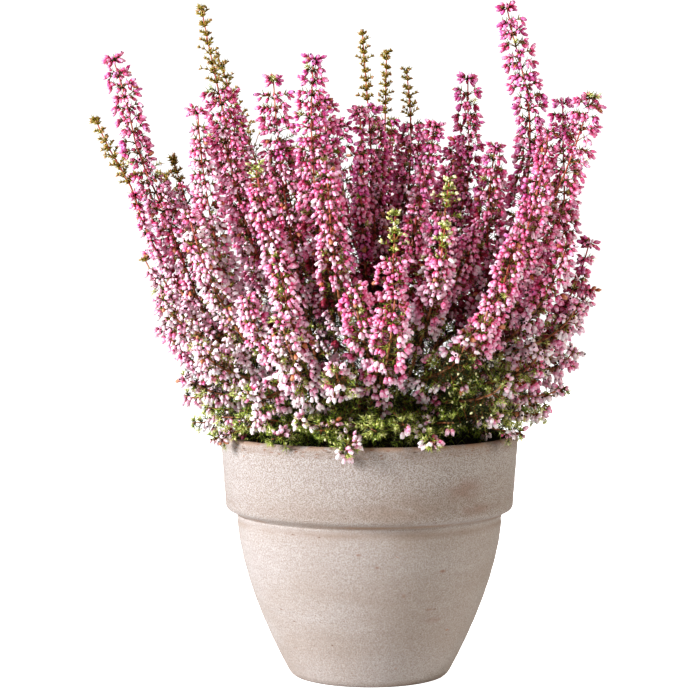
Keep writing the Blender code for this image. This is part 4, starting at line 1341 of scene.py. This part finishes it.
twig_roots = of_twigs("root")
twig_bends = of_twigs("bend")
twig_ends = of_twigs("end")
twig_ways = of_twigs("way")
twig_alongs = of_twigs("along")
twig_kinds = np.array([twig.kind for twig in twigs])
nods = np.array([twig.nod for twig in twigs])
twig_outs = twig_ends - twig_roots
twig_outs -= twig_alongs * (twig_outs * twig_alongs).sum(axis=1, keepdims=True)
twig_outs /= np.maximum(np.linalg.norm(twig_outs, axis=1, keepdims=True), 1e-6)
rng = np.random.default_rng(11)
sky = sky_seen(twig_ends, twig_outs, rng)

# Twigs that see less sky than a fixed and a random share aren't shown, apart from a few that hint at
# the rest. Both shares grow towards the foot of the crown.
HIDDEN_KEPT = 0.14
LOW_DOWN_Z = 205
LOW_DOWN_DEPTH = 45
FIXED_SKY = (0.080, 0.045)
RANDOM_SKY = (0.07, 0.05)
low_down = np.clip((LOW_DOWN_Z - twig_ends[:, 2]) / LOW_DOWN_DEPTH, 0, 1)
random_sky = (RANDOM_SKY[0] + RANDOM_SKY[1] * low_down) * rng.random(len(twigs))
shown = sky > FIXED_SKY[0] + FIXED_SKY[1] * low_down + random_sky
kept = np.flatnonzero(shown | (rng.random(len(twigs)) < HIDDEN_KEPT))
twig_paths = np.stack([twig_roots[kept], twig_bends[kept], twig_ends[kept]], axis=1)
twig_widths = np.tile([TWIG_RADIUS * taper for taper in TWIG_TAPER], (len(kept), 1))
side_twigs = joined_mesh("side_twigs", *tubes(twig_paths, twig_widths, 3))

TWIG_GREEN = (0.110, 0.105, 0.018)
TWIG_RED = (0.38, 0.095, 0.030)
TWIG_PATCHES = (220, 0.35, 0.65, 3)
twig_bark, _, _ = mottled("green_twig_bark", 0.6, TWIG_GREEN, TWIG_RED, TWIG_PATCHES)
side_twigs.data.materials.append(twig_bark)
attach(side_twigs, "root")


# Needle leaves. Short stiff needles stand in rings round the twigs and the stems' feet. They are green
# outside the crown and on the fresh tips in front, olive among the upper bells and straw on the bare
# tips. Inside the crown and in the shady front they are painted near black and dark brown, which is
# painted shade and in part dead needles, and on the green twigs that see most sky a painted light
# yellow-green.
NEEDLE_LENGTH = 3.6
NEEDLE_WIDTH = 0.56
NEEDLE_SPIN = 6.28  # a needle is turned about its own length by up to a full turn
NEEDLE_PATCHES = (900, 0.40, 0.60, 1)
NEEDLE_SHEEN = (900, 0.3, 0.7, 2)
STEM_NEEDLE_STEP = 2.9
NEEDLED_SHARE = 0.55
NEEDLED_Z = 218.0  # up to here and to this share of their length the flower stems carry needles
# Hidden flowering twigs that see more sky than the first of these have needles, green twigs that see
# more than the second have them up to their ends, and over the third many of those are in painted
# light.
INNER_SKY = 0.008
LIT_SKY = 0.04
PAINTED_LIGHT_SKY = 0.13
OLIVE_Z = 232.0  # above this height the needles among the bells are olive brown
FRESH_TIP = (-50.0, 275.0)  # tips in front of this Y and below this Z are fresh green, not straw
NEEDLE_COLOURS = {
    "needles_painted_shade": ((0.010, 0.018, 0.002), (0.060, 0.094, 0.011)),
    "needles_dead_and_shade": ((0.008, 0.006, 0.001), (0.040, 0.034, 0.006)),
    "needles_green": ((0.11, 0.20, 0.014), (0.56, 0.66, 0.110)),
    "needles_painted_light": ((0.32, 0.42, 0.040), (0.86, 0.88, 0.32)),
    "needles_olive": ((0.065, 0.042, 0.006), (0.33, 0.27, 0.050)),
    "needles_young": ((0.17, 0.125, 0.007), (0.45, 0.345, 0.040)),
}
# A needle is a slim three-sided point with a flat foot.
needle_corners, needle_sides, _ = turned_shape(3, [(0.5, 0.0), (0, 1.0)])
needle_shape = (needle_corners, np.concatenate([needle_sides, [[0, 2, 1]]]), np.zeros(4, int))


def needles_on(chosen, spots, per_spot, lift=0.75, long=1.0, wide=1.0):
    """Rings of needles on the chosen twigs, at shares of each twig's length."""
    roots, bends, ends = twig_roots[chosen], twig_bends[chosen], twig_ends[chosen]
    axis = unit(ends - roots)
    base = unit(np.cross(axis, (0.2, 0.5, 0.84)))
    other = np.cross(axis, base)
    places, ways = [], []
    for spot in spots:
        low = roots + (bends - roots) * min(spot * 2, 1)
        high = (ends - bends) * max(spot * 2 - 1, 0)
        start = rng.random(len(roots)) * math.tau
        for i in range(per_spot):
            turn = (start + math.tau * i / per_spot + rng.uniform(-0.3, 0.3, len(roots)))[:, None]
            places.append(low + high)
            ways.append(base * np.cos(turn) + other * np.sin(turn) + axis * lift)
    places = np.concatenate(places)
    lengths = NEEDLE_LENGTH * long * rng.uniform(0.75, 1.15, len(places))
    widths = np.full(len(places), NEEDLE_WIDTH * wide)
    return places, np.concatenate(ways), np.stack([widths, lengths], axis=1)


def out_of_pot(point):
    """Whether a point is clear of the pot's wall and of the compost by a needle's length."""
    out = math.hypot(point.x, point.y)
    if out < RIM_RADIUS - 12:
        return point.z > SOIL_Z + 5
    return point.z > POT_HEIGHT + 3 or out > RIM_RADIUS + 5


def needles_on_stems():
    """Needles on the lower part of every flower stem, round it and a little upwards."""
    places, ways = [], []
    for line in (line for group in lines.values() for line in group):
        for point, along, share in walked(line, STEM_NEEDLE_STEP):
            if share > NEEDLED_SHARE or point.z > NEEDLED_Z:
                break
            if out_of_pot(point):
                start = rng.random() * math.tau
                for i in range(3):
                    places.append(tuple(point))
                    ways.append(tuple(outward(along, start + math.tau * i / 3) + along * 0.6))
    lengths = NEEDLE_LENGTH * rng.uniform(1.0, 1.5, len(places))
    widths = np.full(len(places), NEEDLE_WIDTH)
    return np.array(places), np.array(ways), np.stack([widths, lengths], axis=1)


rng = np.random.default_rng(23)  # the needles' places are drawn from it
bloom = twig_kinds == "bloom"
green = twig_kinds == "green"
tip = twig_kinds == "tip"
fill = twig_kinds == "fill"
end_x, end_y, heights = twig_ends.T
some = rng.random(len(twigs))
inner = bloom & ~shown & (sky > INNER_SKY)
lit = green & (sky > LIT_SKY)
shady = (end_x > SHADY_X[0]) & (end_x < SHADY_X[1]) & (end_y < SHADY_Y) & (heights < SHADY_Z)
# In the shady front the lit twigs' needles are painted shade.
dark_there = shady & (some > 0.35)
high_up = heights > OLIVE_Z
over_rim = (heights > 124) & (np.hypot(end_x, end_y) > 38)
# The green twigs that see most sky get needles in painted light, few of them in the shady front.
painted_lit = lit & (sky > PAINTED_LIGHT_SKY) & (some < np.where(shady, 0.12, 0.6))
fresh = tip & (end_y < FRESH_TIP[0]) & (heights < FRESH_TIP[1])
OUTER_SPOTS = (0.65, 0.85, 0.98)
# Each set of needles: its twigs, the places along them, the needles in a ring, how far they point up
# the twig, and how long and how wide they are against the common size.
groups = {
    "needles_painted_shade": [
        needles_on(green & (sky > 0.015), (0.15, 0.4), 3),
        needles_on(bloom & (some > 0.45) & (sky > 0.03), (0.1,), 3),
        needles_on(lit & dark_there, OUTER_SPOTS, 3, 0.9, 1.1),
        needles_on_stems(),
    ],
    "needles_dead_and_shade": [
        needles_on(fill, (0.25, 0.5, 0.85), 3, 0.7, 1.3),
        needles_on(inner, (0.3, 0.9), 3, 0.6, 1.3),
    ],
    "needles_green": [
        needles_on(fill & (some < 0.6), (0.98,), 4, 0.9, 1.15),
        needles_on(fill & over_rim, (0.5, 0.75), 4, 0.8, 1.2),
        needles_on(lit & ~painted_lit & ~dark_there, OUTER_SPOTS, 3, 0.9, 1.1),
        needles_on(bloom & shown & (some < 0.80) & ~high_up, (0.60,), 3, 0.7, 1.25),
        needles_on(fresh, (0.2, 0.7), 4, 1.0, 0.8, 1.3),
    ],
    "needles_painted_light": [
        needles_on(painted_lit, (0.6, 0.8, 0.98), 4, 0.9, 1.1),
        needles_on(fill & (some > 0.85), (0.98,), 4, 0.9, 1.15),
    ],
    "needles_olive": [
        needles_on(bloom & shown & high_up, (0.75,), 4, 0.8, 1.15, 1.5),
    ],
    "needles_young": [
        needles_on(tip & ~fresh, (0.2, 0.55, 0.95), 4, 1.0, 0.70, 1.7),
    ],
}
for name, sets in groups.items():
    places, ways, sizes = (np.concatenate(parts) for parts in zip(*sets))
    spins = rng.random(len(places)) * NEEDLE_SPIN
    made = joined_mesh(name, *scattered(needle_shape, places, ways, sizes, spins)[:2])
    dark, light = NEEDLE_COLOURS[name]
    needle_skin, tree, shader = mottled(name, 0.45, dark, light, NEEDLE_PATCHES)
    roughen(tree, shader, mottle(tree, *NEEDLE_SHEEN), 0.28, 0.5)
    made.data.materials.append(needle_skin)
    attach(made, "root")


# Bells. Each flowering twig ends in three to five small urn-shaped bells that nod outwards, with a
# pale rolled rim round a near-black throat, partly the dark anthers and partly painted shade inside
# the mouth, and the unopened ones are plain eggs. They are blush white low in the crown, pink in the
# middle and mauve to magenta at the tops. Deep inside the crown many are painted a tint darker, and
# many of those in shade wine red, as painted shade.
OPEN_BELL = turned_shape(
    5,
    [(0, 0.0), (0.38, 0.25), (0.50, 0.56), (0.36, 0.93), (0.25, 1.0), (0, 0.72)],
    (3, 0, 1, 1, 2),
)
CLOSED_BELL = turned_shape(5, [(0, 0.0), (0.36, 0.26), (0.46, 0.62), (0, 1.0)], (3, 0, 1))
BELL_COUNTS = (3, 4, 5)
BELL_CHANCES = (0.25, 0.45, 0.3)
BELL_WIDTHS = (2.45, 2.05)
BELL_WIDTH_Z = (190, 300)  # the heights of these two widths
BELL_OUT = 0.66  # how far a bell points away from its stem
BELL_FAN = 0.42  # how far it points aside from the others of its cluster
BELL_APART = 0.8
BELL_BACK = (-1.6, 0.2)  # where along its twig's end a bell hangs
OPENED_SKY = 0.16  # of the bells that see more sky than this, so large a share is open
OPENED_SHARE = 0.43
PETAL_PATCHES = (300, 0.36, 0.64, 2)
PETAL_SHEEN = (1100, 0.3, 0.7, 2)
# Each tint: at the bell's foot, along its side and at its mouth.
BELL_TINTS = {
    "blush": ((0.85, 0.54, 0.62), (0.94, 0.80, 0.83), (0.96, 0.91, 0.91)),
    "pale": ((0.81, 0.29, 0.45), (0.94, 0.60, 0.73), (0.955, 0.79, 0.855)),
    "pink": ((0.70, 0.080, 0.21), (0.88, 0.31, 0.50), (0.95, 0.65, 0.79)),
    "rose": ((0.61, 0.038, 0.145), (0.83, 0.185, 0.38), (0.94, 0.51, 0.71)),
    "mauve": ((0.52, 0.032, 0.17), (0.74, 0.16, 0.43), (0.91, 0.46, 0.73)),
    "magenta": ((0.42, 0.018, 0.095), (0.63, 0.080, 0.28), (0.82, 0.31, 0.56)),
    # Wine red is painted shade, for bells deep in the crown.
    "wine_painted_shade": ((0.18, 0.010, 0.016), (0.34, 0.030, 0.064), (0.52, 0.125, 0.20)),
    "faded": ((0.42, 0.11, 0.045), (0.56, 0.21, 0.10), (0.68, 0.35, 0.22)),
}
WINE_PAINTED_SHADE, FADED = 6, 7  # the places of these tints in the list
FADED_SHARE = 0.017
# The place in the list of the tint that rules at each height.
TINT_HEIGHTS = ((150, 0.35), (180, 0.8), (205, 1.4), (235, 2.0), (270, 2.6), (305, 3.3), (350, 4.0))
TINT_SPREAD = 0.55
SPRAY_SPREAD = 20  # how far a whole spray's bells are ahead of their height in colour, or behind it
LIT_SIDE = -55.0  # to the left of this X the lamp reaches in, and fewer bells are darker
# Bells that see less sky than this are painted a tint darker as painted shade, and of those in shade
# so many are painted wine red, also painted shade: first on the lit side, then elsewhere.
SHADE_DARKER_SKY = (0.3, 0.5)
DARKER_Z = 190
DARKER_OVER = 30
SHADE_SKY = 0.19
SHADE_Z = 185
PAINTED_WINE_SHARE = (0.25, 0.80)
# How much further a spray is ahead or behind, where the photo shows it plainly.
# The negative shifts of the upper left sprays make them paler, partly as painted light on the side the
# key lamp lights.
TINT_SHIFTS = {
    "right_front": 42,
    "front": 22,
    "left_low": 14,
    "right_edge": 25,
    "right_mid": 26,
    "right_low": 32,
    "left_front": -32,
    "front_left": -12,
    "left_far": -36,
    "left_mid": -24,
    "left_tall": -34,
    "left_back": -8,
    "left_behind": -6,
}

# High in the crown some twigs that don't quite show have bells too, all of them painted wine red as
# painted shade.
HALF_HIDDEN_SKY = 0.03
HALF_HIDDEN_Z = 200
HALF_HIDDEN_SHARE = 0.35
rng = np.random.default_rng(31)
half_hidden = bloom & ~shown & (sky > HALF_HIDDEN_SKY)
half_hidden &= (heights > HALF_HIDDEN_Z) & (some < HALF_HIDDEN_SHARE)
blooming = np.flatnonzero((bloom & shown) | half_hidden)
count = len(blooming)
shifts = rng.uniform(-SPRAY_SPREAD, SPRAY_SPREAD, len(lines))
shifts = shifts + np.array([TINT_SHIFTS.get(name, 0) for name in lines])
tint_z = heights[blooming] + shifts[[twigs[k].spray for k in blooming]]
tint = np.interp(tint_z, *zip(*TINT_HEIGHTS)) + rng.normal(0, TINT_SPREAD, count)
tint = np.rint(tint).astype(int)
# Bells that see little sky are painted a tint darker, and many of those in shade wine red: painted
# shade.
bell_sky = sky[blooming]
on_left = end_x[blooming] < LIT_SIDE
shade_darker = (1 - bell_sky / np.where(on_left, *SHADE_DARKER_SKY)).clip(0, 1)
shade_darker *= np.clip((tint_z - DARKER_Z) / DARKER_OVER, 0, 1)
tint = (tint + (rng.random(count) < shade_darker)).clip(0, WINE_PAINTED_SHADE - 1)
in_shade = (bell_sky < SHADE_SKY) & (tint_z > SHADE_Z)
in_shade &= rng.random(count) < np.where(on_left, *PAINTED_WINE_SHARE)
in_shade |= half_hidden[blooming]
tint[in_shade] = WINE_PAINTED_SHADE

down = np.array([0, 0, -1.0])
bell_places, bell_ways, bell_tints, bell_skies = [], [], [], []
out = twig_outs[blooming]
along = twig_alongs[blooming]
side = np.cross(out, along)
counts = rng.choice(BELL_COUNTS, count, p=BELL_CHANCES)
for i in range(max(BELL_COUNTS)):
    on = counts > i
    turn = (math.tau * i / counts + rng.uniform(-0.4, 0.4, count) + 0.6)[:, None]
    fan = side * np.cos(turn) + along * np.sin(turn)
    nod = (nods[blooming] + rng.uniform(-0.2, 0.2, count))[:, None]
    way = unit(out * BELL_OUT + fan * BELL_FAN + down * nod)
    back = rng.uniform(*BELL_BACK, (count, 1))
    bell_places.append((twig_ends[blooming] + fan * BELL_APART + twig_ways[blooming] * back)[on])
    bell_ways.append(way[on])
    shade = tint + rng.choice((-1, 0, 1), count, p=(0.1, 0.8, 0.1))
    shade = np.where(in_shade, WINE_PAINTED_SHADE, shade.clip(0, WINE_PAINTED_SHADE - 1))
    shade = np.where(rng.random(count) < FADED_SHARE, FADED, shade)
    bell_tints.append(shade[on])
    bell_skies.append(bell_sky[on])
bell_places, bell_ways = np.concatenate(bell_places), np.concatenate(bell_ways)
bell_tints, bell_skies = np.concatenate(bell_tints), np.concatenate(bell_skies)
grown = rng.uniform(0.86, 1.12, len(bell_places))
bell_widths = np.interp(bell_places[:, 2], BELL_WIDTH_Z, BELL_WIDTHS)
bell_widths *= rng.uniform(0.92, 1.06, len(grown))
bell_sizes = np.stack([bell_widths * grown, BELL_LENGTH * grown], axis=1)
opened = (bell_skies > OPENED_SKY) & (rng.random(len(grown)) < OPENED_SHARE)


def petal(name, deep, light):
    """A waxy petal: two near tints in small patches, and an uneven sheen."""
    made, tree, shader = mottled(name, 0.42, deep, light, PETAL_PATCHES)
    shader.inputs["Specular IOR Level"].default_value = 0.18
    roughen(tree, shader, mottle(tree, *PETAL_SHEEN), 0.34, 0.55)
    return made


# The throat's near black is partly the dark anthers and partly painted shade inside the mouth.
throat_anthers_and_shade = petal("bell_throat_anthers_and_shade", (0.014, 0.003, 0.005), (0.035, 0.006, 0.010))
calyx = petal("bell_calyx", (0.085, 0.040, 0.007), (0.29, 0.075, 0.020))
for number, (tint_name, (foot, side_tint, mouth)) in enumerate(BELL_TINTS.items()):
    base_skin = petal("petal_foot_" + tint_name, foot, side_tint)
    mouth_skin = petal("petal_mouth_" + tint_name, side_tint, mouth)
    for kind, shape, chosen in (("open", OPEN_BELL, opened), ("closed", CLOSED_BELL, ~opened)):
        picked = np.flatnonzero((bell_tints == number) & chosen)
        spins = rng.random(len(picked)) * math.tau
        arrays = scattered(shape, bell_places[picked], bell_ways[picked], bell_sizes[picked], spins)
        made = joined_mesh(f"bells_{tint_name}_{kind}", *arrays)
        for look in (base_skin, mouth_skin, throat_anthers_and_shade, calyx):
            made.data.materials.append(look)
        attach(made, "root")


# Buds. Tight cream buds sit among the young needles of the bare tips, pale green ones on the fresh
# tips in front, and smaller yellow ones at the ends of the green twigs low in the crown.
TIP_BUD = 1.5
LEAF_BUD = 1.6
FRESH_BUD = 1.9
BUD_STRETCH = np.array([[0.8, 1.2]])  # its width and its length against its size
yellow = lit & (sky > 0.08) & (some < 0.9)
bud_shape = turned_shape(4, [(0, 0), (0.5, 0.35), (0.36, 0.75), (0, 1)])
rng = np.random.default_rng(43)
for bud_name, budding, bud_size, each, deep, light in (
    ("cream_buds", tip & ~fresh, TIP_BUD, 2, (0.34, 0.19, 0.07), (0.62, 0.37, 0.22)),
    ("yellow_buds", yellow, LEAF_BUD, 1, (0.62, 0.62, 0.24), (0.88, 0.84, 0.58)),
    ("fresh_buds", fresh, FRESH_BUD, 3, (0.60, 0.60, 0.20), (0.90, 0.86, 0.62)),
):
    chosen = np.repeat(np.flatnonzero(budding), each)
    bud_ways = twig_ways[chosen] + any_ways(rng, len(chosen)) * 0.8
    bud_sizes = bud_size * rng.uniform(0.6, 1.15, (len(chosen), 1)) * BUD_STRETCH
    bud_places = twig_ends[chosen] + any_ways(rng, len(chosen)) * 0.4
    spins = rng.random(len(chosen)) * math.tau
    buds = joined_mesh(bud_name, *scattered(bud_shape, bud_places, bud_ways, bud_sizes, spins)[:2])
    buds.data.materials.append(petal(bud_name + "_skin", deep, light))
    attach(buds, "root")


# Studio. A plain pale floor, one large soft lamp from the left, weaker ones from the right and from
# behind, and the camera where the photographer's long lens stood.
FLOOR_SIZE = 24
FLOOR_GLOW = 0.9
FLOOR_WHITE = (0.88, 0.88, 0.88, 1)
# Each lamp: its place, width, power and colour. All of them face the middle of the plant.
LAMPS = (
    ("key_lamp", (-1.88, -1.06, 0.85), 0.9, 86, (0.93, 0.945, 0.985)),
    ("fill_lamp", (1.86, -0.70, 1.0), 1.6, 22, (1.0, 0.94, 0.84)),
    ("back_lamp", (0.6, 1.7, 1.3), 1.2, 18, (1.0, 1.0, 1.0)),
)
LAMP_TARGET = Vector((0, 0, 0.2))
AIR_GLOW = 0.058
AIR_WARM = (1.0, 0.89, 0.79)
CAMERA_PLACE = (-0.0131, -1.250, 0.2483)
CAMERA_DOWN = 0.0565  # how far the camera looks down, in radians
FOCAL_LENGTH = 121.67
FILM_WIDTH = 36

bpy.ops.object.select_all(action="DESELECT")
bpy.ops.mesh.primitive_plane_add(size=FLOOR_SIZE, location=(0, 0, 0))
floor = bpy.context.object
floor.name = "studio_floor"
paper, paper_tree, paper_shader = new_material("floor_paper", 0.9)
paper_shader.inputs["Base Color"].default_value = FLOOR_WHITE
paper_shader.inputs["Emission Color"].default_value = (1, 1, 1, 1)
seen = node(paper_tree, "LightPath").outputs["Is Camera Ray"]
paper_tree.links.new(times(paper_tree, seen, FLOOR_GLOW), paper_shader.inputs["Emission Strength"])
floor.data.materials.append(paper)

for lamp_name, lamp_place, lamp_size, watts, tone in LAMPS:
    lamp = bpy.data.lights.new(lamp_name, "AREA")
    lamp.shape = "DISK"
    lamp.size = lamp_size
    lamp.energy = watts
    lamp.color = tone
    holder = bpy.data.objects.new(lamp_name, lamp)
    holder.location = lamp_place
    holder.rotation_euler = (LAMP_TARGET - Vector(lamp_place)).to_track_quat("-Z", "Y").to_euler()
    bpy.context.scene.collection.objects.link(holder)

world = bpy.data.worlds.new("studio_air")
world.use_nodes = True
air_tree = world.node_tree
air = air_tree.nodes["Background"]
seen = node(air_tree, "LightPath").outputs["Is Camera Ray"]
glow = node(air_tree, "MapRange", {"Value": seen, "To Min": AIR_GLOW, "To Max": 1.0})
air_tree.links.new(glow.outputs[0], air.inputs["Strength"])
air_tree.links.new(blend(air_tree, seen, AIR_WARM, (1, 1, 1)), air.inputs["Color"])
bpy.context.scene.world = world
bpy.context.scene.view_settings.view_transform = "Standard"
bpy.context.scene.view_settings.look = "Medium High Contrast"

lens = bpy.data.cameras.new("camera")
lens.lens = FOCAL_LENGTH
lens.sensor_width = FILM_WIDTH
camera = bpy.data.objects.new("camera", lens)
camera.location = CAMERA_PLACE
camera.rotation_euler = (math.pi / 2 - CAMERA_DOWN, 0, 0)
bpy.context.scene.collection.objects.link(camera)
bpy.context.scene.camera = camera
